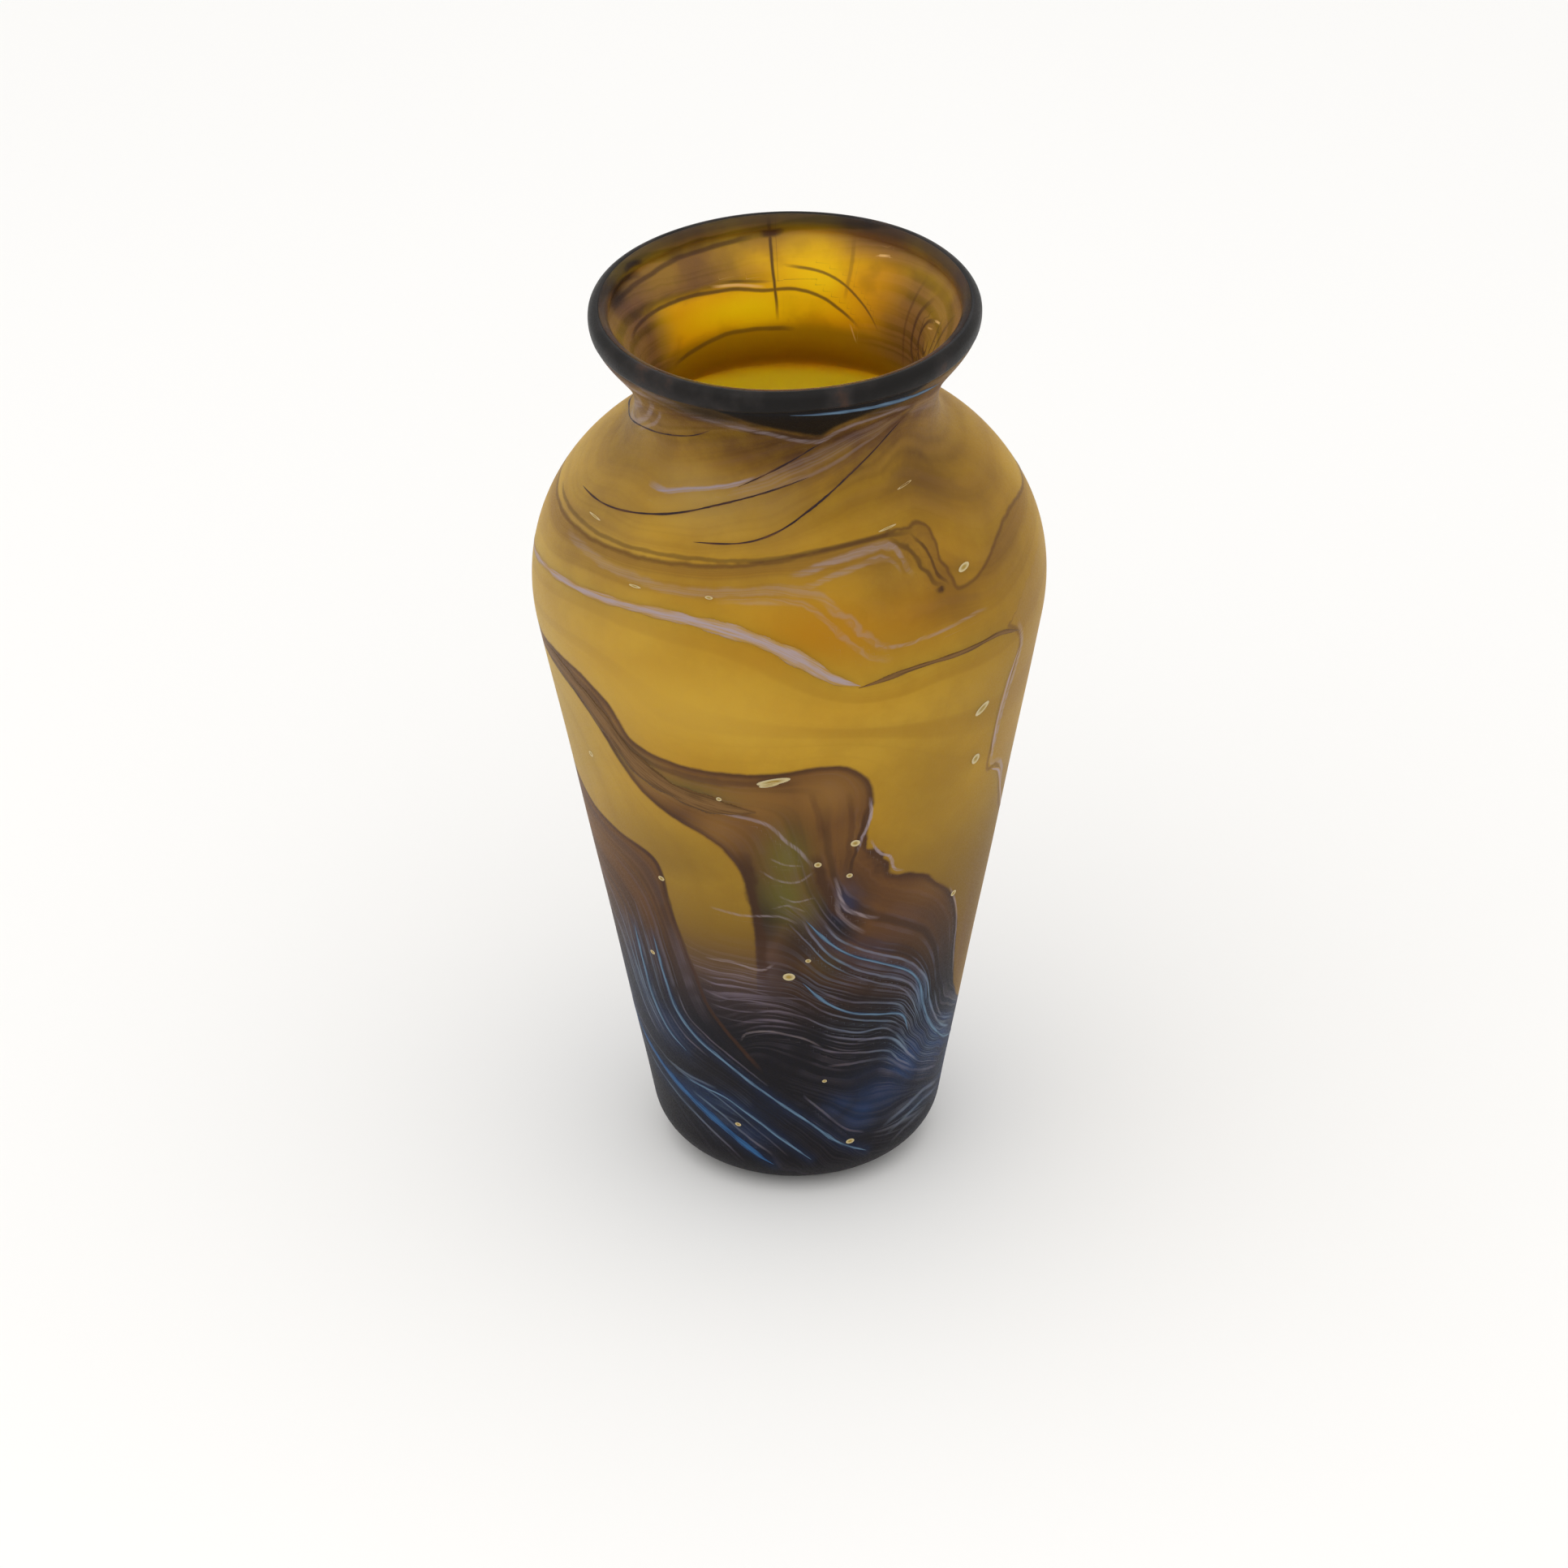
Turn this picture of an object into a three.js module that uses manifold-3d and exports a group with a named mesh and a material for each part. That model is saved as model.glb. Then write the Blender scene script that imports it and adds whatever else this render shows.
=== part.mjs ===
// A hand-blown art glass vase: a thin-walled baluster vessel with a dark glass wrap round its flared lip,
// coloured glass trails let into its outer wall, and the pontil's scar left under its base.
// Millimetres, +Z up, origin at the centre of the plane that the vase stands on. The front faces -Y.
import * as THREE from "three";
import { mergeVertices } from "three/addons/utils/BufferGeometryUtils.js";
import Module from "manifold-3d";

const wasm = await Module();
wasm.setup();

// ---- Driving dimensions ----
const SEGMENTS = 56; // facets round the axis
const LEAN = 10; // degrees that the lower wall leans outwards
const WALL = 3.3; // glass thickness at the shoulder and neck
const FLOOR = 8; // glass thickness at the centre of the floor
const FLOOR_FLAT_R = 20.5; // flat part of the floor inside
const FLOOR_ROUND = 12; // radius inside, where the floor meets the wall
const STANDING_R = 21.7; // outer edge of the flat ring that the vase stands on
const FOOT_ROUND = 13.9; // radius of the rounded corner at the foot
const RECESS = { r: 12.5, flatR: 9.5, depth: 2.6 }; // hollow under the base
const SHOULDER = { r: 17.25, z: 157.4, radius: 43.65 }; // centre and radius of the shoulder's arc
const NECK_R = 35.3; // outer radius at the narrowest point
const NECK_FILLET = 10.7; // radius of the hollow between shoulder and neck
const BEAD = { r: 43.0, z: 227.7, radius: 2.3 }; // the rounded edge of the lip
const LIP_TURN = { outside: 8, joint: 85, inside: 220 }; // degrees round the bead where each surface meets it
const FLARE_PULL = { foot: 13, lip: 7 }; // how far the flare's curve keeps its direction at each end
const INNER_LIP_LEAN = 38; // degrees that the inside of the flare leans outwards at the lip
const WRAP_STEPS = 2; // steps of the flare's curve, below the bead, that the lip wrap covers
const SCAR = { radius: 7, thickness: 1.3, lobes: 5, ripple: 0.5, corners: 24 };
const GAP = 0.3; // room between a trail and its channel
const TRAIL_STEP = 6; // length of one step along a trail
const LEAST_STEPS = 6; // steps along the shortest trail
const FINE_POINTS = 12; // points for each route point, when a trail is measured
const PROUD = 1; // how far a channel's cutter stands out of the wall

const { degToRad: rad, lerp, radToDeg } = THREE.MathUtils;

function glass(colour, roughness) {
  return new THREE.MeshStandardMaterial({ color: colour, roughness, metalness: 0 });
}
const AMBER = glass(0xb28a34, 0.5);
const INK = glass(0x24211f, 0.45);
const LILAC = glass(0xa58c86, 0.5);
const BROWN = glass(0x6a4525, 0.5);
const BLUE = glass(0x3c6492, 0.45);
const SLATE = glass(0x66788c, 0.45);
const CLOUDY = glass(0x8c8468, 0.6);

// ---- Outlines, as points of (radius, height) ----

// A point at an angle in degrees on a circle in the outline's plane.
function onCircle(centre, radius, degrees) {
  return new THREE.Vector2(
    centre.r + radius * Math.cos(rad(degrees)),
    centre.z + radius * Math.sin(rad(degrees)),
  );
}

// The round corner that stands on a level line and ends on a wall with the stated lean.
function corner(path, r, level, radius, divisions) {
  for (let i = 0; i <= divisions; i++) {
    const turn = -90 + ((90 - LEAN) * i) / divisions;
    path.push(onCircle({ r, z: level + radius }, radius, turn));
  }
}

// Arc points round a centre from one angle to another, both ends included.
function arc(path, centre, radius, from, to, divisions) {
  for (let i = 0; i <= divisions; i++) {
    path.push(onCircle(centre, radius, from + ((to - from) * i) / divisions));
  }
}

// The shoulder's arc turns into the neck's hollow where their slopes agree.
const shoulderTurn = radToDeg(Math.acos((NECK_R + NECK_FILLET - SHOULDER.r) / (SHOULDER.radius + NECK_FILLET)));
const shoulderTop = onCircle(SHOULDER, SHOULDER.radius, shoulderTurn);
const neckHeight = shoulderTop.y + NECK_FILLET * Math.sin(rad(shoulderTurn));

// The hollow between shoulder and neck, and the flare up to a point of the lip, at an inset into the glass.
function neckAndFlare(path, inset, lipPoint, lipLean, divisions) {
  const filletCentre = { r: NECK_R + NECK_FILLET, z: neckHeight };
  path.pop(); // the shoulder's last point is the hollow's first
  arc(path, filletCentre, NECK_FILLET + inset, 180 + shoulderTurn, 180, divisions.fillet);
  const foot = new THREE.Vector2(NECK_R - inset, neckHeight);
  const atLip = new THREE.Vector2(Math.sin(rad(lipLean)), Math.cos(rad(lipLean)));
  const flare = new THREE.CubicBezierCurve(
    foot,
    foot.clone().add(new THREE.Vector2(0, FLARE_PULL.foot)),
    lipPoint.clone().addScaledVector(atLip, -FLARE_PULL.lip),
    lipPoint,
  );
  path.push(...flare.getPoints(divisions.flare).slice(1));
}

// The whole outside, from the standing ring to the bead, and the part of it that the lip's wrap covers.
const outside = [];
corner(outside, STANDING_R, 0, FOOT_ROUND, 6);
arc(outside, SHOULDER, SHOULDER.radius, -LEAN, shoulderTurn, 10);
const lipEdge = onCircle(BEAD, BEAD.radius, LIP_TURN.outside);
neckAndFlare(outside, 0, lipEdge, -LIP_TURN.outside, { fillet: 4, flare: 8 });
const wrapped = outside.slice(-WRAP_STEPS - 1);

// The inside, from the floor's rounded corner up to the lip.
const inside = [];
corner(inside, FLOOR_FLAT_R, FLOOR, FLOOR_ROUND, 4);
arc(inside, SHOULDER, SHOULDER.radius - WALL, -LEAN, shoulderTurn, 7);
const mouthEdge = onCircle(BEAD, BEAD.radius, LIP_TURN.inside);
neckAndFlare(inside, WALL, mouthEdge, INNER_LIP_LEAN, { fillet: 3, flare: 5 });

// A closed body of revolution about +Z from an outline of (radius, height) points.
function turned(outline) {
  return new THREE.LatheGeometry(outline, SEGMENTS).rotateX(Math.PI / 2);
}

// ---- Solids ----

function toSolid(geometry) {
  const bare = geometry.clone();
  bare.deleteAttribute("normal");
  bare.deleteAttribute("uv");
  const merged = mergeVertices(bare, 1e-3);
  return new wasm.Manifold(
    new wasm.Mesh({
      numProp: 3,
      vertProperties: merged.attributes.position.array,
      triVerts: new Uint32Array(merged.index.array),
    }),
  );
}

function toGeometry(solid) {
  const made = solid.getMesh();
  const geometry = new THREE.BufferGeometry();
  geometry.setAttribute("position", new THREE.BufferAttribute(made.vertProperties, 3));
  geometry.setIndex(new THREE.BufferAttribute(made.triVerts, 1));
  geometry.computeVertexNormals();
  return geometry;
}

// ---- Trails of coloured glass, let into the outer wall ----

// How far the outside leans from upright at each of its points, outwards positive.
const leans = outside.map((_, i) => {
  const before = outside[Math.max(i - 1, 0)];
  const after = outside[Math.min(i + 1, outside.length - 1)];
  return Math.atan2(after.x - before.x, after.y - before.y);
});

// Radius and lean of the outside at a height.
function wallAt(height) {
  const i = outside.findIndex((p, k) => k > 0 && p.y >= height);
  const [low, high] = [outside[i - 1], outside[i]];
  const share = (height - low.y) / (high.y - low.y);
  return { radius: lerp(low.x, high.x, share), lean: lerp(leans[i - 1], leans[i], share) };
}

// A point on the outside, moved outwards from it. Azimuth 0 is the front.
function onWall(azimuth, height, outwards) {
  const { radius, lean } = wallAt(height);
  const reach = radius + outwards * Math.cos(lean);
  return new THREE.Vector3(
    reach * Math.sin(azimuth),
    -reach * Math.cos(azimuth),
    height - outwards * Math.sin(lean),
  );
}

// Stations along a route of [azimuth in degrees, height, half width] points, evenly spaced on the wall.
function stations(route, grow) {
  const curve = new THREE.CatmullRomCurve3(
    route.map(([azimuth, height, half]) => new THREE.Vector3(rad(azimuth), height, half)),
    false,
    "centripetal",
  );
  const fine = curve.getPoints(route.length * FINE_POINTS);
  const along = [0];
  for (let i = 1; i < fine.length; i++) {
    const [a, b] = [fine[i - 1], fine[i]].map((p) => onWall(p.x, p.y, 0));
    along.push(along[i - 1] + a.distanceTo(b));
  }
  const length = along[along.length - 1];
  const count = Math.max(LEAST_STEPS, Math.round(length / TRAIL_STEP));
  const found = [];
  for (let i = 0; i <= count; i++) {
    const wanted = (length * i) / count;
    const k = Math.min(along.findIndex((d, n) => n > 0 && d >= wanted - 1e-6), fine.length - 1);
    const share = (wanted - along[k - 1]) / (along[k] - along[k - 1]);
    found.push(fine[k - 1].clone().lerp(fine[k], share));
  }
  return found.map((here, i) => {
    const before = found[Math.max(i - 1, 0)];
    const after = found[Math.min(i + 1, count)];
    const { radius, lean } = wallAt(here.y);
    const stretch = 1 / Math.cos(lean); // wall length for each unit of height
    const run = new THREE.Vector2((after.x - before.x) * radius, (after.y - before.y) * stretch).normalize();
    const end = (i === count ? grow : 0) - (i === 0 ? grow : 0);
    return {
      azimuth: here.x + (run.x * end) / radius,
      height: here.y + (run.y * end) / stretch,
      acrossAzimuth: -run.y / radius,
      acrossHeight: run.x / stretch,
      half: here.z + grow,
    };
  });
}

// A ribbon that follows the wall: its outer face stands `above` the wall and its inner face `below` it.
function ribbon(route, above, below, grow) {
  const sections = stations(route, grow).map((s) => {
    const at = (side, outwards) =>
      onWall(s.azimuth + side * s.half * s.acrossAzimuth, s.height + side * s.half * s.acrossHeight, outwards);
    return [at(-1, above), at(1, above), at(1, -below), at(-1, -below)];
  });
  const sides = sections[0].length;
  const position = sections.flat().flatMap((p) => [p.x, p.y, p.z]);
  const index = [0, 1, 2, 0, 2, 3];
  for (let i = 0; i < sections.length - 1; i++) {
    for (let k = 0; k < sides; k++) {
      const [a, b] = [i * sides + k, i * sides + ((k + 1) % sides)];
      index.push(a, a + sides, b, b, a + sides, b + sides);
    }
  }
  const last = (sections.length - 1) * sides;
  index.push(last, last + 2, last + 1, last, last + 3, last + 2);
  const geometry = new THREE.BufferGeometry();
  geometry.setAttribute("position", new THREE.Float32BufferAttribute(position, 3));
  geometry.setIndex(index);
  geometry.computeVertexNormals();
  return geometry;
}

// Each route point is [azimuth in degrees, height, half width], and azimuths past 180 lie behind the left side.
const TRAILS = {
  neck_blue_trail: {
    glass: SLATE,
    depth: 0.8,
    route: [[2, 221.6, 0.4], [14, 221.2, 0.6], [28, 220.6, 1.0], [42, 220, 1.2], [55, 219.4, 0.5]],
  },
  neck_thread: {
    glass: INK,
    depth: 0.6,
    route: [
      [-138, 189.5, 0.4], [-112, 194.5, 0.4], [-88, 199.5, 0.4], [-70, 203.5, 0.4],
      [-50, 207.5, 0.4], [-36, 211, 0.4], [-27, 215, 0.4],
    ],
  },
  shoulder_thread_high: {
    glass: INK,
    depth: 0.6,
    route: [[-19, 199.5, 0.4], [-9, 203, 0.4], [1, 207, 0.5], [13, 212.5, 0.6]],
  },
  shoulder_thread_mid: {
    glass: INK,
    depth: 0.6,
    route: [[-77, 187.5, 0.4], [-60, 189, 0.4], [-42, 192, 0.5], [-24, 195.8, 0.5], [-6, 199.5, 0.4], [8, 202.5, 0.4]],
  },
  shoulder_thread_low: {
    glass: INK,
    depth: 0.6,
    route: [[-28, 189.5, 0.4], [-10, 191.2, 0.4], [8, 196, 0.5], [22, 201, 0.5], [36, 207, 0.5], [48, 214.5, 0.4]],
  },
  lilac_ribbon: {
    glass: LILAC,
    depth: 1.2,
    route: [
      [-170, 149, 0.5], [-145, 154, 0.6], [-115, 160.5, 0.6], [-88, 166, 0.6], [-72, 169.5, 0.6],
      [-52, 172.8, 0.8], [-32, 175, 1.0], [-18, 174.8, 1.3], [-7, 171.5, 1.3], [2, 167, 1.3],
      [9, 161.5, 1.2], [15, 160.6, 0.7],
    ],
  },
  seam_thread: {
    glass: BROWN,
    depth: 0.8,
    route: [[18, 161.2, 0.4], [28, 162.2, 0.5], [42, 161.5, 0.5], [53, 160.8, 0.5], [61, 157.5, 0.5]],
  },
  seam_fall: {
    glass: LILAC,
    depth: 0.8,
    route: [[62, 152, 0.5], [59.5, 144, 0.6], [58, 134, 0.6], [58, 124, 0.7]],
  },
  seam_tail: {
    glass: LILAC,
    depth: 0.8,
    route: [[60, 118, 0.6], [66, 114, 0.6], [72, 105, 0.5], [82, 95, 0.5], [98, 88, 0.5], [122, 84, 0.4]],
  },
  waist_band: {
    glass: BROWN,
    depth: 1.2,
    route: [
      [-76, 148.2, 1.2], [-66, 147.6, 2.0], [-56, 144.8, 2.6], [-48, 138.8, 2.8], [-41, 132.2, 2.8],
      [-31, 127.4, 2.6], [-19, 125.2, 2.2], [-9, 124.6, 1.4],
    ],
  },
  foot_trail_1: {
    glass: BLUE,
    depth: 1,
    route: [
      [-120, 49, 0.5], [-94, 41.5, 0.6], [-74, 34.5, 0.8], [-58, 28.5, 1.3], [-44, 22.8, 1.4],
      [-30, 16.8, 1.2], [-18, 11.5, 0.7],
    ],
  },
  foot_trail_2: {
    glass: SLATE,
    depth: 0.8,
    route: [[-40, 30.2, 0.4], [-28, 28.6, 0.5], [-17, 24.2, 0.6], [-7, 18.6, 0.6], [3, 12.6, 0.5]],
  },
  foot_trail_3: {
    glass: SLATE,
    depth: 0.8,
    route: [
      [-46, 74, 0.5], [-45, 64, 0.7], [-42.5, 55, 0.8], [-36, 47.5, 0.8], [-26, 41.3, 0.6],
      [-15, 34.2, 0.6], [-4, 27.8, 0.6], [6, 21.5, 0.6], [14, 15.5, 0.5],
    ],
  },
  foot_trail_4: {
    glass: BLUE,
    depth: 0.8,
    route: [[-55, 76, 0.5], [-54.5, 64, 0.8], [-53.5, 54, 0.9], [-49, 46, 0.8], [-41, 41, 0.6]],
  },
  pale_trail_1: {
    glass: SLATE,
    depth: 0.8,
    route: [
      [3, 90.5, 0.5], [8, 84.5, 0.6], [15, 78.5, 0.5], [26, 73, 0.5], [36, 67.5, 0.5], [42, 61, 0.6],
      [46, 52, 0.7], [52, 44, 0.7], [60, 37.5, 0.6], [70, 32.5, 0.5], [88, 27.5, 0.5], [112, 24, 0.4],
    ],
  },
  pale_trail_2: {
    glass: SLATE,
    depth: 0.8,
    route: [[2, 70.5, 0.5], [8, 64.5, 0.6], [16, 59.5, 0.5], [26, 56.5, 0.5], [36, 53.5, 0.5], [40, 47, 0.6]],
  },
  back_ribbon: {
    glass: LILAC,
    depth: 1,
    route: [[98, 178, 0.5], [118, 174, 0.8], [140, 166, 1.1], [158, 161.5, 1.1], [176, 163.5, 0.7], [194, 169, 0.5]],
  },
  back_band: {
    glass: BROWN,
    depth: 1.2,
    route: [[112, 126, 1.0], [132, 117, 2.0], [152, 114, 2.4], [172, 119, 2.4], [190, 129, 2.0], [206, 138, 1.0]],
  },
  back_blue_trail: {
    glass: BLUE,
    depth: 0.8,
    route: [[120, 68, 0.5], [138, 59, 0.8], [160, 52.5, 0.9], [184, 47.5, 0.9], [206, 41, 0.6]],
  },
};

// ---- The assembly ----

const vase = new THREE.Group();

function place(name, geometry, material) {
  const mesh = new THREE.Mesh(geometry, material);
  mesh.name = name;
  vase.add(mesh);
  return mesh;
}

// The blown wall with its floor, recess and flare, before the channels are let into it.
function blownWall() {
  const underside = [
    new THREE.Vector2(0, RECESS.depth),
    new THREE.Vector2(RECESS.flatR, RECESS.depth),
    new THREE.Vector2(RECESS.r, 0),
  ];
  const up = outside.slice(0, outside.length - WRAP_STEPS);
  const roll = [];
  arc(roll, BEAD, BEAD.radius, LIP_TURN.joint, LIP_TURN.inside, 5);
  const down = [...inside].reverse().slice(1);
  return turned([...underside, ...up, ...roll, ...down, new THREE.Vector2(0, FLOOR)]);
}

// The dark glass laid over the outer side and top of the lip. It meets the wall on one cone.
function lipWrap() {
  const bead = [];
  arc(bead, BEAD, BEAD.radius, LIP_TURN.outside, LIP_TURN.joint, 4);
  return turned([...wrapped, ...bead.slice(1), wrapped[0].clone()]);
}

// The rough button of glass where the pontil iron was broken off, with an uneven rim.
function pontilScar() {
  const outline = new THREE.Shape();
  for (let i = 0; i < SCAR.corners; i++) {
    const turn = (2 * Math.PI * i) / SCAR.corners;
    const r = SCAR.radius + SCAR.ripple * Math.sin(SCAR.lobes * turn);
    outline[i ? "lineTo" : "moveTo"](r * Math.cos(turn), r * Math.sin(turn));
  }
  outline.closePath();
  return new THREE.ExtrudeGeometry(outline, { depth: SCAR.thickness, bevelEnabled: false });
}

let wall = toSolid(blownWall());
for (const { depth, route } of Object.values(TRAILS)) {
  wall = wall.subtract(toSolid(ribbon(route, PROUD, depth + GAP, GAP)));
}
place("vessel_wall", toGeometry(wall), AMBER);
place("lip_wrap", lipWrap(), INK);
place("pontil_scar", pontilScar(), CLOUDY).position.z = RECESS.depth - SCAR.thickness;
for (const [name, { glass: material, depth, route }] of Object.entries(TRAILS)) {
  place(name, ribbon(route, 0, depth, 0), material);
}

export default vase;
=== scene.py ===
"""A hand-blown art glass vase: satin amber glass with brown veils, coloured trails and a dark lip wrap.

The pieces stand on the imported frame, in metres, +Z up, with the front facing -Y. A place on the wall
is given as (azimuth, height): azimuth in degrees from the front, positive towards +X, and height in
millimetres.
"""
import math

import bpy
import numpy as np
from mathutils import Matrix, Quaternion


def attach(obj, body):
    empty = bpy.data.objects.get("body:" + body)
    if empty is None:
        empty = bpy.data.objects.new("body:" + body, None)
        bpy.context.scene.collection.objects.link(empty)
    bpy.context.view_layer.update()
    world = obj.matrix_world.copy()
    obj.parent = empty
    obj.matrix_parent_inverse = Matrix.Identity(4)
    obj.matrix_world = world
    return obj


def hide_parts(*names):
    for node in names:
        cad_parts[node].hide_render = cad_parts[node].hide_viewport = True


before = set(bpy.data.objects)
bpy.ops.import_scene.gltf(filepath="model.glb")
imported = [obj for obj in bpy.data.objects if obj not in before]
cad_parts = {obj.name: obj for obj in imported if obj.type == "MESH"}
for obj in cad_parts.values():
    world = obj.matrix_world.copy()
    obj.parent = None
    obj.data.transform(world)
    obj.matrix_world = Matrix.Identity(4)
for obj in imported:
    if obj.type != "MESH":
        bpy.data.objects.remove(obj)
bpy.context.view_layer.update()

MM = 0.001

# ---- Driving dimensions in millimetres, the same as the solids' ----
LEAN = 10                     # degrees that the lower wall leans outwards
WALL = 3.3
FLOOR = 8
FLOOR_FLAT_R = 20.5
FLOOR_ROUND = 12
STANDING_R = 21.7
FOOT_ROUND = 13.9
RECESS_R, RECESS_FLAT_R, RECESS_DEPTH = 12.5, 9.5, 2.6
SHOULDER_R, SHOULDER_Z, SHOULDER_ROUND = 17.25, 157.4, 43.65
NECK_R = 35.3
NECK_FILLET = 10.7
BEAD_R, BEAD_Z, BEAD_ROUND = 43.0, 227.7, 2.3
LIP_OUTSIDE, LIP_JOINT, LIP_INSIDE = 8, 85, 220    # degrees round the bead
FLARE_PULL_FOOT, FLARE_PULL_LIP = 13, 7
INNER_LIP_LEAN = 38
WRAP_LOW = 224.5              # height of the lip wrap's lower edge
SCAR_R, SCAR_THICKNESS = 7.0, 1.3

# ---- Mesh density ----
FRONT_STEP = 1.1              # degrees between columns over the front
BACK_STEP = 1.8
FRONT_HALF = 100              # degrees each side of the front that take the finer step
OUTSIDE_STEP = 1.03           # millimetres between rows outside
INSIDE_STEP = 1.1
HIDDEN_STEP = 6.0             # the lower inside and the underside
DEGREE = 0.9                  # millimetres round the wall for one degree, on average


# ======== Outlines ========

def arc(r, z, radius, start, end, steps=24):
    turn = np.radians(np.linspace(start, end, steps + 1))
    return np.stack([r + radius * np.cos(turn), z + radius * np.sin(turn)], 1)


def bezier(a, b, c, d, steps=30):
    t = np.linspace(0, 1, steps + 1)[1:, None]
    s = 1 - t
    return s ** 3 * a + 3 * s * s * t * b + 3 * s * t * t * c + t ** 3 * d


SHOULDER_TURN = math.degrees(
    math.acos((NECK_R + NECK_FILLET - SHOULDER_R) / (SHOULDER_ROUND + NECK_FILLET)))
NECK_Z = SHOULDER_Z + (SHOULDER_ROUND + NECK_FILLET) * math.sin(math.radians(SHOULDER_TURN))


def side(inset, foot_r, level, foot_round, lip_turn, lip_lean):
    """The outline from the foot's or floor's corner up to the bead, at an inset into the glass."""
    foot = arc(foot_r, level + foot_round, foot_round, -90, -LEAN)
    shoulder = arc(SHOULDER_R, SHOULDER_Z, SHOULDER_ROUND - inset, -LEAN, SHOULDER_TURN, 60)
    hollow = arc(NECK_R + NECK_FILLET, NECK_Z, NECK_FILLET + inset, 180 + SHOULDER_TURN, 180)[1:]
    lip = arc(BEAD_R, BEAD_Z, BEAD_ROUND, lip_turn, lip_turn, 1)[0]
    lean = math.radians(lip_lean)
    neck = np.array([NECK_R - inset, NECK_Z])
    towards = np.array([math.sin(lean), math.cos(lean)])
    flare = bezier(neck, neck + [0, FLARE_PULL_FOOT], lip - FLARE_PULL_LIP * towards, lip)
    return np.concatenate([foot, shoulder, hollow, flare])


def resample(path, step):
    """Points at an even step along a path, with both ends kept."""
    length = np.concatenate([[0], np.cumsum(np.hypot(*np.diff(path, axis=0).T))])
    count = max(2, int(round(length[-1] / step)))
    wanted = np.linspace(0, length[-1], count + 1)
    return np.stack([np.interp(wanted, length, path[:, k]) for k in range(path.shape[1])], 1)


OUTSIDE = side(0, STANDING_R, 0, FOOT_ROUND, LIP_OUTSIDE, -LIP_OUTSIDE)
INSIDE = side(WALL, FLOOR_FLAT_R, FLOOR, FLOOR_ROUND, LIP_INSIDE, INNER_LIP_LEAN)
VISIBLE_INSIDE = 172          # height below which the inside is only glimpsed


def radius_at(height):
    return np.interp(height, OUTSIDE[:, 1], OUTSIDE[:, 0])


def lean_at(height):
    """How far the outside leans outwards from upright at a height, in radians."""
    rise = 0.6
    return np.arctan2(radius_at(height + rise) - radius_at(height - rise), 2 * rise)


# ======== The uneven shape that free blowing leaves ========

def smoothstep(low, high, value):
    t = np.clip((value - low) / (high - low), 0, 1)
    return t * t * (3 - 2 * t)


def place(radius, azimuth, height):
    """World points for a radius, an azimuth in degrees and a height, with the wall's gentle unevenness."""
    turn = np.radians(azimuth)
    free = smoothstep(4, 26, height)
    swell = 0.22 * np.sin(2 * turn + 0.7 + height / 70) + 0.10 * np.sin(3 * turn - height / 30)
    swell = swell + 0.05 * np.sin(7 * turn + height / 8)
    reach = radius + swell * free * np.clip(radius / NECK_R, 0, 1)
    lip = smoothstep(205, 230, height)
    sway = -0.25 * lip
    dip = (0.15 * np.sin(turn + 0.4) + 0.14 * np.sin(3 * turn + 1.1) - 0.4 * (1 + np.cos(turn))) * lip
    x = reach * np.sin(turn) + sway
    y = -reach * np.cos(turn)
    return np.stack([x * MM, y * MM, (height + dip) * MM], -1)


# ======== Meshes ========

def columns():
    front = np.arange(-FRONT_HALF, FRONT_HALF, FRONT_STEP)
    back = np.arange(FRONT_HALF, 360 - FRONT_HALF, BACK_STEP)
    return np.concatenate([front, back])


def wrap_degrees(azimuth):
    return (np.asarray(azimuth) + 180) % 360 - 180


def make_object(name, points, faces, material, attributes=None, smooth=True):
    mesh = bpy.data.meshes.new(name)
    mesh.from_pydata([tuple(p) for p in points], [], faces)
    mesh.validate()
    mesh.update()
    mesh.materials.append(material)
    mesh.polygons.foreach_set("use_smooth", [smooth] * len(mesh.polygons))
    for key, values in (attributes or {}).items():
        layer = mesh.attributes.new(key, "FLOAT", "POINT")
        layer.data.foreach_set("value", np.asarray(values, dtype=np.float32))
    piece = bpy.data.objects.new(name, mesh)
    bpy.context.scene.collection.objects.link(piece)
    return piece


def ring_faces(rows, around, closed_rows=False):
    """Quads of a grid of rows whose columns run all the way round."""
    faces = []
    last = rows if closed_rows else rows - 1
    for i in range(last):
        a, b = i * around, ((i + 1) % rows) * around
        for k in range(around):
            n = (k + 1) % around
            faces.append((a + k, a + n, b + n, b + k))
    return faces


# ======== The colours' layout on the wall: curves of (azimuth, height) ========

def catmull(points, per=8):
    """A smooth curve through given points."""
    p = np.asarray(points, float)
    p = np.concatenate([[2 * p[0] - p[1]], p, [2 * p[-1] - p[-2]]])
    t = np.linspace(0, 1, per, endpoint=False)[:, None]
    spans = []
    for a, b, c, d in zip(p[:-3], p[1:-2], p[2:-1], p[3:]):
        spans.append(0.5 * (2 * b + (c - a) * t + (2 * a - 5 * b + 4 * c - d) * t ** 2
                            + (3 * b - a - 3 * c + d) * t ** 3))
    return np.concatenate(spans + [p[-2:-1]])


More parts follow.
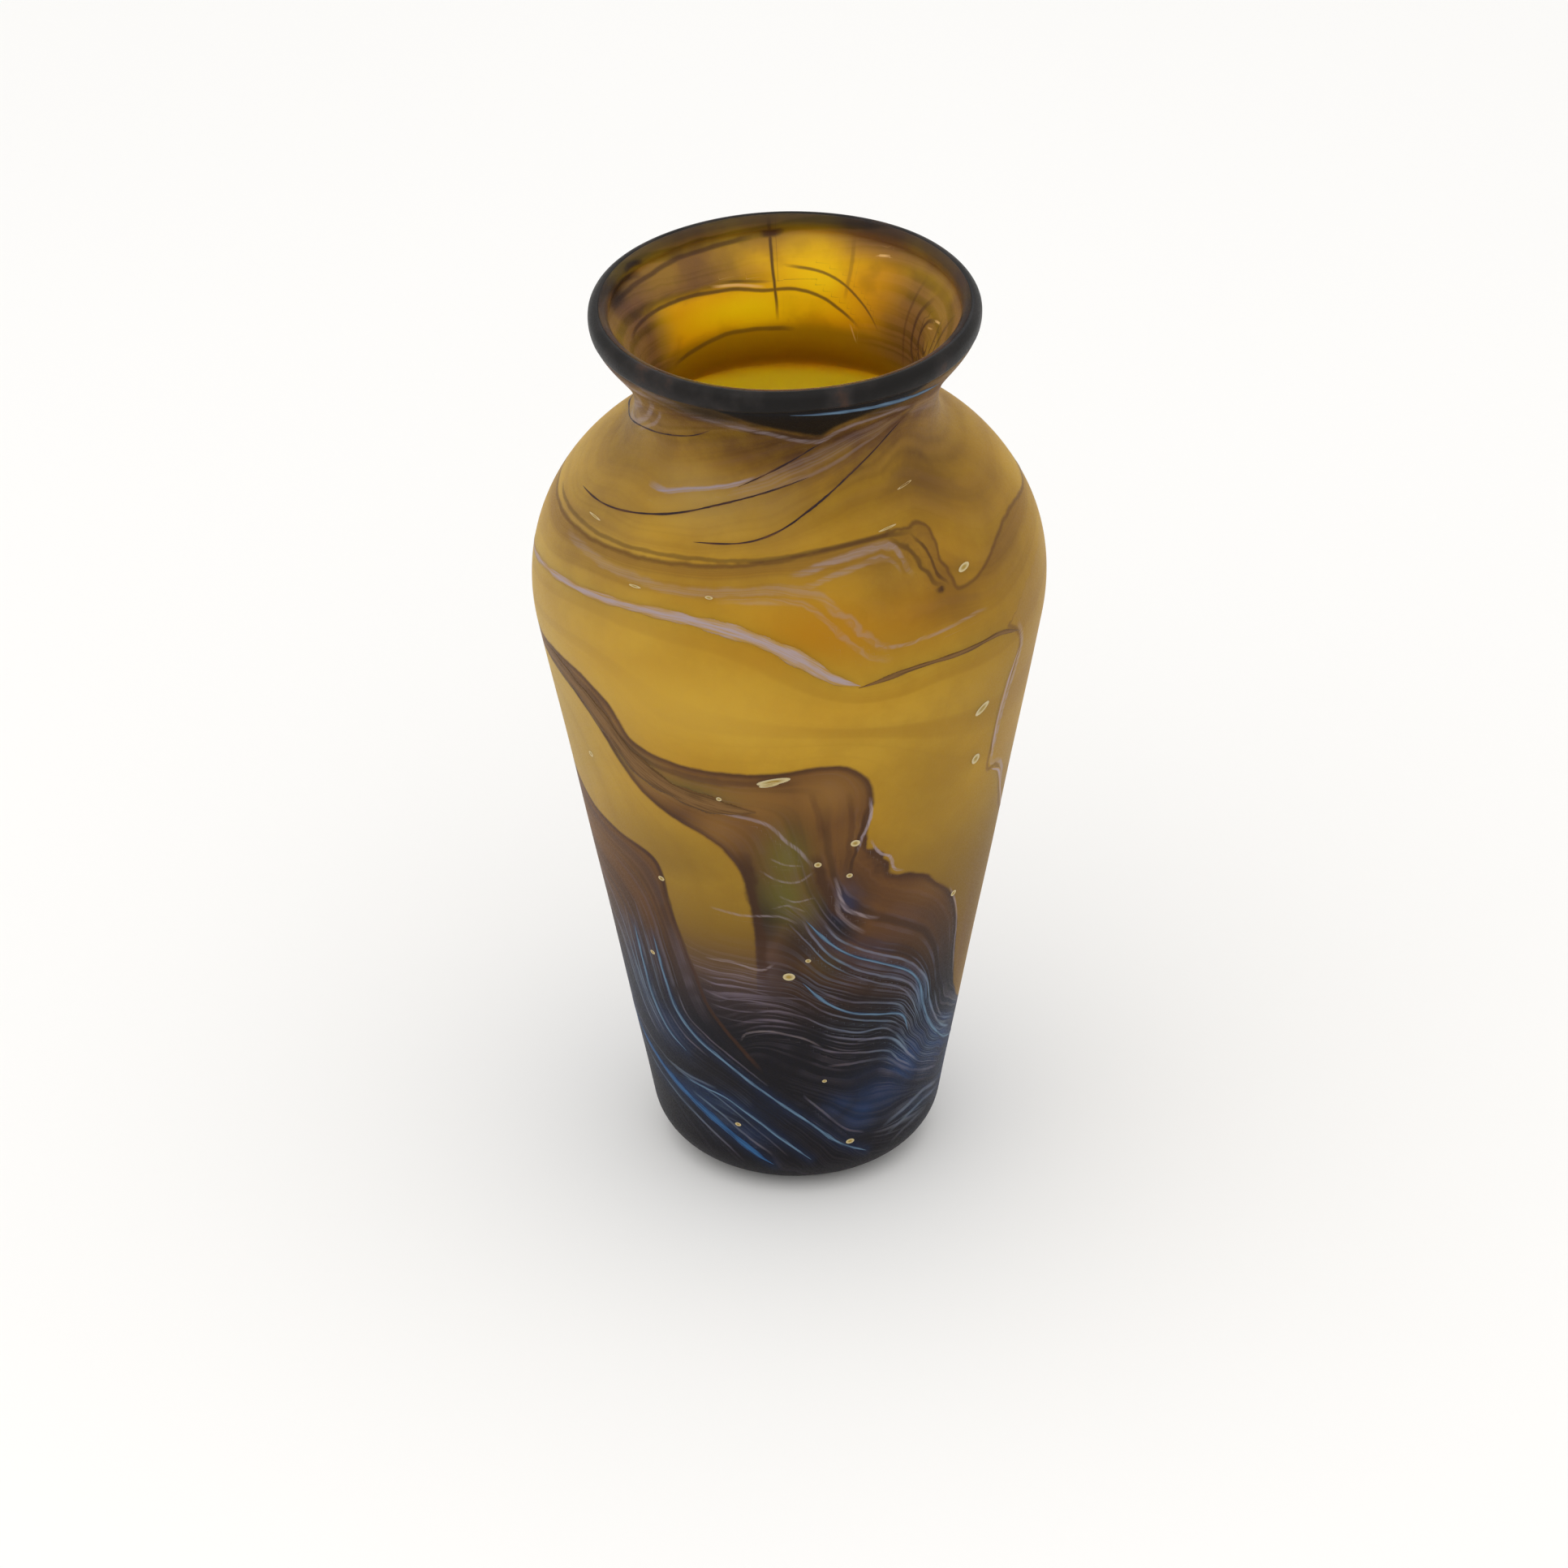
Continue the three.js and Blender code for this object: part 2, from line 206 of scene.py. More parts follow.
def signed_gap(curve, azimuth, height):
    """Millimetres from each place to a curve, negative on its right-hand side, how far along it that is,
    and the curve's length. It holds across the back, where azimuth jumps by 360."""
    reach = 60      # millimetres past the curve's ends where the gap no longer matters
    best, where = np.full(azimuth.shape, 1e9), np.zeros(azimuth.shape)
    starts, ends = curve[:-1] * [DEGREE, 1], curve[1:] * [DEGREE, 1]
    lengths = np.hypot(*(ends - starts).T)
    before = np.cumsum(lengths) - lengths
    for shift in (-360, 0, 360):
        x = (azimuth + shift) * DEGREE
        near = (x > starts[:, 0].min() - reach) & (x < ends[:, 0].max() + reach)
        if not near.any():
            continue
        px, py = x[near], height[near]
        found, along = np.full(px.shape, 1e9), np.zeros(px.shape)
        for (ax, ay), (bx, by), length, passed in zip(starts, ends, lengths, before):
            dx, dy = bx - ax, by - ay
            t = np.clip(((px - ax) * dx + (py - ay) * dy) / max(dx * dx + dy * dy, 1e-9), 0, 1)
            gap = np.hypot(px - ax - t * dx, py - ay - t * dy)
            gap = np.where(dx * (py - ay) < dy * (px - ax), -gap, gap)
            closer = np.abs(gap) < np.abs(found)
            found, along = np.where(closer, gap, found), np.where(closer, passed + t * length, along)
        closer = np.abs(found) < np.abs(best[near])
        best[near] = np.where(closer, found, best[near])
        where[near] = np.where(closer, along, where[near])
    return best, where, lengths.sum()


def is_inside(polygon, azimuth, height):
    """Whether each place is within a closed outline."""
    result = np.zeros(azimuth.shape, bool)
    closed = np.concatenate([polygon, polygon[:1]])
    for (ax, ay), (bx, by) in zip(closed[:-1], closed[1:]):
        if ay == by:
            continue
        crosses = (ay > height) != (by > height)
        at = ax + (height - ay) * (bx - ax) / (by - ay)
        result ^= crosses & (azimuth < at)
    return result


def depth_in(edge, azimuth, height, closing):
    """Signed millimetres inside the area that an edge and its closing corners bound."""
    curve = catmull(edge)
    area = np.concatenate([curve, np.asarray(closing, float)]) if len(closing) else curve
    within = is_inside(area, azimuth, height)
    for shift in (-360, 360):
        within |= is_inside(area, azimuth + shift, height)
    gap = np.abs(signed_gap(curve, azimuth, height)[0])
    return np.where(within, gap, -gap)


BELOW = [(182, -60), (-182, -60)]     # closes an edge that runs right round, to the foot

# The dark lower glass ends along this edge, with the amber above it.
VEIL_EDGE = [
    (-180, 118), (-160, 124), (-140, 133), (-120, 142), (-100, 148), (-88, 150.5), (-75, 150.5), (-62, 152),
    (-53, 151), (-46, 147.5), (-42.5, 143), (-40, 139), (-34, 136.6), (-24, 136), (-12, 136.2), (-3, 137),
    (5, 138.5), (11, 138.3), (15, 136), (18.6, 131.5), (19.6, 126), (18.8, 120), (18.4, 114), (20.5, 110.5),
    (24.5, 107), (26.5, 101.5), (32, 99.6), (38, 97), (43, 92.5), (49, 87.5), (53.5, 81), (57, 73),
    (59.5, 62), (62.5, 54), (68, 47), (76, 42), (90, 40), (106, 50), (122, 72), (138, 92), (158, 106),
    (180, 118),
]
# The amber window that the veil folds round.
WINDOW_EDGE = [
    (-128, 132), (-110, 138), (-92, 143), (-78, 145.3), (-66, 144.6), (-57, 141.5), (-51, 136.5),
    (-46, 130), (-39, 122.5), (-30, 118), (-22, 114.5), (-16, 109), (-12.8, 101), (-11.5, 90), (-11.5, 81),
    (-11.7, 72), (-12.6, 64), (-15, 56), (-18.5, 51), (-23, 53), (-28.3, 60.5), (-31.6, 70), (-34.4, 80),
    (-36.4, 90), (-37.2, 99), (-40, 103.5), (-47, 105.2), (-60, 106.6), (-72, 109.5), (-86, 113.5),
    (-102, 117), (-118, 119.6), (-130, 124), (-128, 132),
]
# The left-hand veil laps over the rest along this edge.
LAP_EDGE = [
    (-160, -20), (-159, 20), (-153, 60), (-144, 98), (-132, 122), (-118, 119.6), (-102, 117), (-86, 113.5),
    (-72, 109.5), (-60, 106.6), (-47, 105.2), (-40, 103.5), (-37, 99), (-36.2, 90), (-34.2, 80),
    (-31.4, 70), (-28, 60), (-22, 52), (-16, 45), (-8, 37.5), (0, 32.5), (10, 26), (18, 20), (26, 13),
    (33, 5), (38, -20),
]
# A brown veil on the shoulder, folded at the right.
BAND_EDGE = [
    (-180, 190), (-150, 185), (-120, 181.5), (-90, 181), (-70, 182), (-50, 183.5), (-30, 185.5),
    (-12, 187.4), (4, 189.2), (20, 190.3), (34, 190.4), (40.5, 190.3), (42.6, 187), (41.2, 183.5),
    (42.4, 179.5), (43.5, 176.2), (50, 176.6), (58, 179), (68, 181.6), (80, 181.4), (96, 179), (120, 180),
    (150, 186), (180, 190),
]
# The duller glass at the right, beyond the seam.
SEAM_EDGE = [
    (57, 161.0), (60.5, 158), (62.4, 154), (61, 146), (58.6, 138), (57.8, 130), (57.2, 120), (62, 118.4),
    (66, 114), (69.5, 107), (74, 100), (84, 94), (104, 88), (130, 90), (150, 98),
]
SEAM_CLOSING = [(170, 120), (176, 150), (150, 176), (110, 174), (84, 170), (66, 166)]

# Lines that the glass was drawn along, each with its level: the striations follow them.
LEFT_FLOW = {
    0: [(-180, 26), (-150, 44), (-120, 49), (-94, 42.5), (-74, 36.5), (-58, 30.5), (-44, 25.5), (-30, 20),
        (-18, 13.5), (-6, 6)],
    5: [(-120, 56), (-94, 50), (-74, 43), (-58, 36), (-44, 31.5), (-28, 29), (-18, 25), (-8, 19.5),
        (2, 12.6), (12, 5)],
    10: [(-150, 74), (-110, 76), (-90, 72), (-76, 69), (-67, 64), (-64, 56), (-60, 47), (-52, 40),
         (-40, 35.5), (-28, 33), (-17, 27), (-7, 21), (3, 14.6), (12, 7)],
    15: [(-150, 88), (-110, 92), (-90, 89), (-72, 86), (-60, 82), (-56, 76), (-54.5, 64), (-53.5, 54),
         (-49, 46.3), (-41, 41), (-28, 37), (-16, 31), (-6, 25), (4, 18), (14, 10)],
    21: [(-150, 100), (-110, 103), (-90, 98), (-70, 94), (-55, 91), (-48.5, 85), (-46, 74), (-44.5, 64),
         (-42, 54), (-36, 47.2), (-27, 42.6), (-16, 36.5), (-6, 30), (2, 25.4), (10, 20), (20, 13.5),
         (28, 8)],
    28: [(-118, 119.6), (-86, 113.5), (-60, 106.6), (-47, 105.2), (-40, 103.5), (-37, 99), (-36.2, 90),
         (-34.2, 80), (-31.4, 70), (-28, 60), (-22, 52), (-16, 45), (-8, 37.5), (0, 32.5), (10, 26),
         (18, 20), (26, 13), (33, 5)],
}
RIGHT_FLOW = {
    20: [(0, 20), (14, 16), (30, 14), (50, 11), (80, 9), (120, 12)],
    26: [(0, 32), (10, 28), (22, 21), (34, 19.5), (48, 21), (62, 18), (84, 14)],
    33: [(-14, 47), (-4, 44), (6, 40), (18, 37), (30, 38), (38, 34), (50, 27.5), (64, 23), (84, 18)],
    38: [(-18, 51), (-8, 54), (2, 53), (10, 49.5), (20, 46.4), (32, 44), (38, 39.5), (44, 35), (54, 30),
         (70, 25), (96, 20)],
    43: [(-24, 57), (-16, 60.5), (-6, 61), (4, 57.5), (12, 54), (24, 51), (34, 47.5), (40, 42.5), (47, 36),
         (58, 31), (76, 27), (100, 22)],
    48: [(-30, 69), (-20, 69.5), (-10, 69), (0, 67.5), (8, 62.5), (16, 58.5), (26, 55.5), (35, 51.5),
         (41, 45), (48, 38.5), (58, 33.5), (76, 29), (100, 24)],
    53: [(-34, 79), (-22, 77), (-8, 76), (0, 74), (6, 69.5), (14, 66), (24, 62), (36, 57.5), (42, 51),
         (49, 42.5), (60, 35.5), (76, 31), (100, 26)],
    59: [(-78, 145.5), (-62, 143.6), (-50, 134), (-40, 123.5), (-28, 117), (-18, 111), (-13, 101),
         (-8.5, 92), (0, 89), (5, 82.5), (12, 74.5), (24, 68.5), (35, 63.5), (42, 57), (46, 50), (52, 42.5),
         (60, 37), (70, 33), (88, 28), (112, 24)],
    64: [(-78, 147.5), (-62, 146.5), (-48, 138.8), (-41, 132.2), (-31, 127.4), (-19, 125.2), (-9, 124),
         (-4, 116), (-1, 104), (5, 92), (9, 86), (15, 80), (26, 74), (36, 69), (42, 63), (46, 54.5),
         (51, 47), (60, 40.5), (72, 35.5), (90, 31), (114, 28)],
    69: [(-78, 149), (-60, 149.5), (-47, 142.5), (-40, 135.5), (-28, 131.4), (-12, 130.5), (2, 130),
         (6, 122), (7.5, 110), (11, 98), (17, 91), (28, 84), (38, 78), (45, 70), (49, 62), (54, 54),
         (62, 46.5), (73, 41), (92, 37), (114, 40)],
    74: [(-120, 142), (-88, 150.5), (-62, 152), (-46, 147.5), (-40, 139), (-24, 136), (-3, 137), (11, 138),
         (18, 131), (18.8, 120), (19, 112), (26, 102), (38, 97), (49, 87.5), (57, 73), (62, 54), (76, 42),
         (90, 40), (122, 72), (158, 106), (180, 118)],
    100: [(-170, 149), (-145, 154), (-115, 160.5), (-88, 166), (-52, 172.8), (-18, 174.8), (2, 168.5),
          (15, 160.6), (34, 162.4), (52, 160.8), (80, 166), (120, 160), (150, 152), (180, 148)],
    107: [(-90, 172), (-60, 176.5), (-30, 180), (-6, 182), (8, 179), (16, 173), (24, 168), (50, 168.5),
          (80, 172), (120, 168), (160, 164)],
    116: [(-150, 185), (-90, 181), (-50, 183.5), (-12, 187.4), (20, 190.3), (40, 190), (56, 181), (80, 181),
          (120, 180), (180, 190)],
    124: [(-140, 184), (-90, 186.5), (-60, 188), (-28, 190.5), (-6, 193.5), (16, 198), (36, 200), (60, 198),
          (90, 194), (120, 190), (170, 190)],
    131: [(-140, 190), (-110, 194), (-77, 190.5), (-50, 193), (-24, 197.5), (-4, 202), (12, 206.5),
          (28, 211.5), (44, 216), (70, 212), (110, 206), (160, 198)],
    141: [(-150, 204), (-88, 200.5), (-60, 206), (-36, 211), (-20, 215), (0, 220), (40, 222.5), (90, 221),
          (140, 214)],
}


def flow_field(lines, azimuth, height):
    """A smooth surface through every flow line's level, by thin-plate interpolation.

    The levels are about a millimetre apart."""
    overlap = 250       # degrees from the front within which the lines are repeated across the back
    stiffness = 2.0     # how much the surface may miss the lines, so that it stays smooth
    chunks = 24         # groups of places, so that the arrays stay small
    spots, levels = [], []
    for level, line in lines.items():
        for a, h in line:
            for shift in (-360, 0, 360):
                if abs(a + shift) < overlap:
                    spots.append(((a + shift) * DEGREE, h))
                    levels.append(level)
    spots = np.array(spots)
    count = len(spots)

    def kernel(p, q):
        square = ((p[:, None, :] - q[None, :, :]) ** 2).sum(-1)
        return 0.5 * square * np.log(square + 1e-9)

    plane = np.concatenate([np.ones((count, 1)), spots], 1)
    system = np.zeros((count + 3, count + 3))
    system[:count, :count] = kernel(spots, spots) + stiffness * np.eye(count)
    system[:count, count:] = plane
    system[count:, :count] = plane.T
    weights = np.linalg.solve(system, np.concatenate([levels, np.zeros(3)]))
    where = np.stack([azimuth * DEGREE, height], 1)
    found = [kernel(chunk, spots) @ weights[:count] for chunk in np.array_split(where, chunks)]
    found = np.concatenate(found)
    return found + np.concatenate([np.ones((len(where), 1)), where], 1) @ weights[count:]


def joined_flow(lines, azimuth, height, reach=34):
    """The flow field with its two ends blended across the back."""
    flow = flow_field(lines, azimuth, height)
    turned = azimuth % 360
    back = np.abs(turned - 180) < reach
    share = smoothstep(180 - reach, 180 + reach, turned[back])
    right = flow_field(lines, turned[back], height[back])
    left = flow_field(lines, turned[back] - 360, height[back])
    flow[back] = right * (1 - share) + left * share
    return flow


def strokes(lines, azimuth, height):
    """How strongly wide, soft lines of (curve, half width, strength) lie over each place."""
    total = np.zeros(azimuth.shape)
    for line, half, strength in lines:
        gap = signed_gap(catmull(line), azimuth, height)[0]
        total = np.maximum(total, strength * np.exp(-(gap / half) ** 2))
    return total


def in_layers(lines, apart=4.4):
    """The lines sorted into layers, so that no two in a layer come near each other."""
    layers = []
    for line in lines:
        curve = catmull(line[0]) * [DEGREE, 1]
        for layer in layers:
            if all(np.hypot(*(curve[:, None] - other[None]).T).min() > apart for other, _ in layer):
                layer.append((curve, line))
                break
        else:
            layers.append([(curve, line)])
    return [[line for _, line in layer] for layer in layers]


def threads(key, layers, azimuth, height):
    """The values that draw thin lines of (curve, half width, strength), for each layer.

    They are the signed gap to the nearest line in half widths, and its strength, which fades out a little
    way off and at the line's ends."""
    no_line = 20.0      # the gap where no line is near
    values = {}
    for k, lines in enumerate(layers):
        gap, strength = np.full(azimuth.shape, no_line), np.zeros(azimuth.shape)
        for line, half, power in lines:
            off, along, length = signed_gap(catmull(line), azimuth, height)
            taper = min(6.0, length / 4)
            ends = np.clip(np.minimum(along, length - along) / taper, 0, 1) ** 0.7
            sides = smoothstep(2 * half + 1.4, half + 0.6, np.abs(off))
            nearer = np.abs(off) < 1.5 + 2 * half
            gap = np.where(nearer, off / half, gap)
            strength = np.where(nearer, power * ends * sides, strength)
        values[f"{key}_{k}"] = strength
        values[f"{key}_{k}_gap"] = gap
    return values


def clouds(spots, azimuth, height):
    """Soft patches of (azimuth, height, half width, half height, strength)."""
    total = np.zeros(azimuth.shape)
    for a, h, wide, tall, strength in spots:
        across = wrap_degrees(azimuth - a) / wide
        total = np.maximum(total, strength * np.exp(-across ** 2 - ((height - h) / tall) ** 2))
    return total


# Thin lines are (curve, half width, strength). These are the pale lilac and grey wisps outside.
WISPS = [
    ([(-54, 195), (-46, 195.4), (-38, 196.8), (-28, 198.6), (-20, 200.2), (-12, 202.4)], 0.55, 0.95),
    ([(-22, 198.4), (-8, 201), (4, 204.4), (16, 208), (30, 211.5), (44, 214.6)], 1.6, 0.22),
    ([(-16, 200.6), (-2, 204.4), (10, 208.4), (24, 212.6), (38, 215.6)], 1.2, 0.24),
    ([(-20, 197.4), (0, 201.4), (14, 204.4), (28, 208.6), (40, 213)], 0.8, 0.25),
    ([(-54, 226), (-40, 224), (-28, 221.8), (-16, 219.8), (-6, 217)], 1.3, 0.34),
    ([(-50, 223), (-36, 220.6), (-24, 218.6), (-12, 216.4)], 0.8, 0.2),
    ([(26, 221), (34, 220), (41, 218.4), (46, 216)], 0.5, 0.4),
    ([(-34, 221.4), (-20, 219), (-8, 217), (0, 214.6), (8, 213), (12, 212.6), (18, 216), (26, 218),
      (36, 218.6), (45, 217)], 1.0, 0.62),
    ([(-98, 198.4), (-82, 201.4), (-71, 205), (-61, 210), (-53, 215), (-47, 220)], 0.9, 0.45),
    ([(-90, 203), (-74, 208), (-63, 213.6), (-56, 219)], 1.2, 0.35),
    ([(-76, 201), (-64, 205.6), (-54, 210.6), (-46, 217)], 0.6, 0.35),
    ([(-100, 222.4), (-80, 221.8), (-60, 221.2), (-44, 222)], 1.2, 0.55),
    ([(44, 216.6), (52, 214.6), (62, 212), (76, 209)], 2.4, 0.22),
    ([(60, 221), (76, 220.4), (96, 219.4)], 1.2, 0.5),
    ([(-70, 180), (-48, 180), (-30, 180.4), (-16, 181.8), (-2, 183), (6, 182), (11, 178.6), (16.5, 172.5),
      (22, 168)], 1.1, 0.26),
    ([(-18, 180), (0, 180.8), (6, 178.6), (10.5, 174.4), (15, 169), (22.6, 165.6)], 0.8, 0.22),
    ([(0, 185.4), (8, 186.8), (16, 188), (24, 188.6), (29.5, 188), (31, 184.5), (31.5, 182)], 0.8, 0.5),
    ([(2, 183), (14, 185.4), (22, 186.6), (27, 186), (29, 183)], 0.7, 0.35),
    ([(16, 172), (22, 168.6), (32, 168.6), (44, 169), (50, 168.8)], 0.5, 0.35),
    ([(61, 160), (63.4, 153), (62, 145), (60, 137), (59, 128), (58.8, 121), (63, 119), (68, 114),
      (71, 107)], 0.8, 0.5),
    ([(18.6, 127), (19.2, 121), (17.8, 116), (16, 111)], 0.5, 0.8),
    ([(19.5, 113.4), (22.4, 109), (25.8, 106), (27.2, 102.4), (30, 101)], 0.5, 0.8),
    ([(49, 88), (53, 82), (56.4, 74), (58.4, 64), (61, 56)], 0.4, 0.5),
    ([(-20, 123.6), (-12, 122.8), (-6, 120.6), (-2, 116), (2, 112), (5, 107)], 0.6, 0.5),
    ([(-9, 106.5), (-4, 103.4), (1, 103), (5, 106)], 0.4, 0.35),
    ([(-24, 92.6), (-14, 91.6), (-5, 92), (1, 89.6)], 0.45, 0.4),
    ([(-27, 75.6), (-18, 75.8), (-10, 74.4), (-6, 76.6)], 0.45, 0.6),
    ([(10.4, 104), (11.6, 99), (13.4, 94), (17, 91), (24, 88)], 0.6, 0.6),
    ([(-18.4, 50), (-16, 53), (-8, 54.4), (2, 52.4), (8, 49)], 0.4, 0.4),
    ([(11, 98), (13, 90.5), (20, 84)], 0.8, 0.3),
    ([(-4, 98.6), (0, 96.8), (5, 97.8)], 0.35, 0.4),
    ([(-6, 110.4), (-2, 108.4), (2, 108)], 0.35, 0.35),
    ([(-6, 94.4), (-2, 95.6), (3, 93.4)], 0.35, 0.3),
]

# Smoky brown and near-black lines outside.
SHADES = [
    ([(-90, 182.6), (-60, 184), (-30, 186.6), (-8, 188), (10, 189.6), (28, 190), (37, 189.4)], 0.5, 0.5),
    ([(29, 189.6), (33, 187), (35, 183.6), (36.6, 180.6), (39.6, 177.4)], 0.9, 0.6),
    ([(36, 189.4), (38.6, 185), (38.4, 181.6), (41, 177.6)], 0.5, 0.7),
    ([(37.2, 177.6), (39.2, 177.2)], 0.9, 0.9),
    ([(-76, 148), (-62, 149.5), (-50, 145.5), (-44, 138), (-36, 133.8), (-22, 132.6), (-8, 133.4),
      (2, 134)], 1.2, 0.45),
    ([(-44, 131), (-34, 126.6), (-24, 124.6), (-14, 124), (-8, 123)], 0.9, 0.6),
    ([(-13.4, 112), (-11.6, 101), (-10.4, 90), (-10, 80), (-9.6, 70)], 1.7, 0.75),
    ([(4, 131), (6, 124), (7, 115)], 1.0, 0.35),
    ([(13, 130), (14.4, 122), (14, 112), (13, 104)], 0.9, 0.4),
    ([(18, 124), (17, 117), (15, 108), (14.6, 101)], 0.6, 0.8),
    ([(5, 112), (7, 104), (9.4, 97), (13, 91.4), (20, 87)], 1.6, 0.8),
    ([(-48, 104.8), (-40, 102.8), (-37.6, 98), (-37, 90), (-35, 80), (-32, 70), (-29, 60), (-22, 51),
      (-12, 41)], 0.8, 0.7),
    ([(-18, 218.2), (-4, 216.4), (6, 214.6), (13, 213.4)], 1.6, 0.8),
    ([(8, 215.6), (12.4, 217.6), (14, 219)], 1.0, 0.8),
    ([(30, 216.5), (42, 216.6), (47.5, 215.6), (40, 211.6)], 0.7, 0.5),
]

# Fine blue-grey threads in the dark glass below.
STRANDS = [
    ([(2, 91), (5, 85), (10, 78.6), (18, 73), (27, 68.6), (36, 64), (41, 59), (45, 51)], 0.4, 0.7),
    ([(-2, 90), (3, 84), (8, 77.6), (15, 72.4), (25, 67), (34, 62.6), (40, 56.6), (44, 49)], 0.3, 0.55),
    ([(8, 89), (12, 83.8), (18, 79.8), (26, 75.6), (34, 71.6), (40, 67), (45.4, 60.6), (49, 52.6),
      (54.4, 45.4), (61, 39.8), (70, 35.4)], 0.4, 0.75),
    ([(40, 63), (44, 55), (48, 48), (54, 41.4), (62, 36.4), (72, 32)], 0.4, 0.6),
    ([(50, 56), (54, 49), (60, 43), (70, 38)], 0.4, 0.45),
    ([(0, 73), (5, 69.2), (11, 65.4), (18, 62.2), (27, 60), (35, 56.6), (40, 50)], 0.4, 0.6),
    ([(-6, 66), (2, 65), (8, 61), (16, 57.4), (26, 54.4), (34, 51.4), (39, 46)], 0.35, 0.5),
    ([(-14, 60), (-6, 61.4), (2, 59.4), (10, 55.4), (20, 52), (30, 51), (37, 45.4), (42, 39)], 0.35, 0.5),
    ([(20, 49.2), (30, 48), (36, 44.8), (41, 39.6), (48, 34)], 0.45, 0.8),
    ([(4, 50), (12, 47), (22, 45), (32, 43), (38, 38), (46, 33)], 0.4, 0.6),
    ([(10, 42.6), (22, 42), (32, 40.4), (40, 35), (50, 30.4), (64, 26)], 0.5, 0.4),
    ([(-31.6, 72), (-24, 71.6), (-16, 72), (-11, 71)], 0.35, 0.6),
    ([(-31, 68.4), (-24, 67.4), (-16, 67.8), (-8, 66.4)], 0.35, 0.6),
    ([(-29.6, 64.6), (-22, 63.4), (-14, 64), (-4, 63)], 0.35, 0.6),
    ([(-27.6, 60.6), (-20, 60), (-12, 60.4)], 0.35, 0.5),
    ([(-26, 57), (-18, 56.6), (-8, 57.4)], 0.3, 0.4),
    ([(-78, 84), (-68, 80), (-62.4, 72), (-60.4, 62), (-57, 51), (-51, 43)], 0.5, 0.55),
    ([(-84, 76), (-74, 72), (-67, 66), (-65, 57), (-61, 47), (-54, 40)], 0.6, 0.5),
    ([(-52, 84), (-50, 74), (-49, 64), (-47, 54), (-41, 47), (-31, 42)], 0.4, 0.45),
    ([(-59, 80), (-58.4, 68), (-57.4, 56), (-52, 46)], 0.4, 0.5),
    ([(-40, 62), (-38, 54.6), (-31, 49), (-20, 42.6), (-10, 36)], 0.35, 0.45),
    ([(-42, 27.8), (-30, 23.6), (-20, 18), (-10, 12.6)], 0.5, 0.5),
    ([(-90, 35.6), (-72, 31), (-56, 25), (-42, 19.6), (-30, 14), (-22, 9)], 0.5, 0.5),
    ([(-80, 43), (-64, 37.4), (-50, 33), (-36, 30.6), (-26, 27), (-14, 19.8), (-4, 12.6)], 0.35, 0.4),
    ([(-56, 34), (-42, 32.6), (-30, 32)], 0.5, 0.45),
    ([(2, 33.4), (10, 26.6), (18, 20.6), (26, 17.8)], 0.45, 0.55),
    ([(34, 17), (44, 20), (56, 21.6), (70, 19)], 0.8, 0.45),
    ([(36, 13.6), (46, 16.6), (58, 18), (72, 16)], 0.7, 0.4),
    ([(40, 10.6), (50, 13.4), (62, 14)], 0.7, 0.35),
    ([(110, 70), (130, 62), (156, 55), (184, 50), (206, 44)], 0.5, 0.6),
    ([(116, 76), (138, 68), (164, 61), (190, 56)], 0.4, 0.5),
    ([(-176, 40), (-150, 50), (-122, 55), (-96, 49), (-76, 41)], 0.5, 0.5),
    ([(-170, 66), (-140, 72), (-112, 72), (-92, 66)], 0.5, 0.45),
]
WISP_LAYERS, SHADE_LAYERS, STRAND_LAYERS = in_layers(WISPS), in_layers(SHADES), in_layers(STRANDS)
# The black wedge under the lip: dark glass with painted shade under the lip.
LIP_SHADE_WEDGE_EDGE = [
    (-34, 227.5), (-25, 224.4), (-16, 221.6), (-8, 219), (0, 216.8), (7, 214.8), (12, 213.8), (14.5, 215.8),
    (18, 217.8), (24, 219.6), (31, 221), (40, 222.2), (52, 225),
]

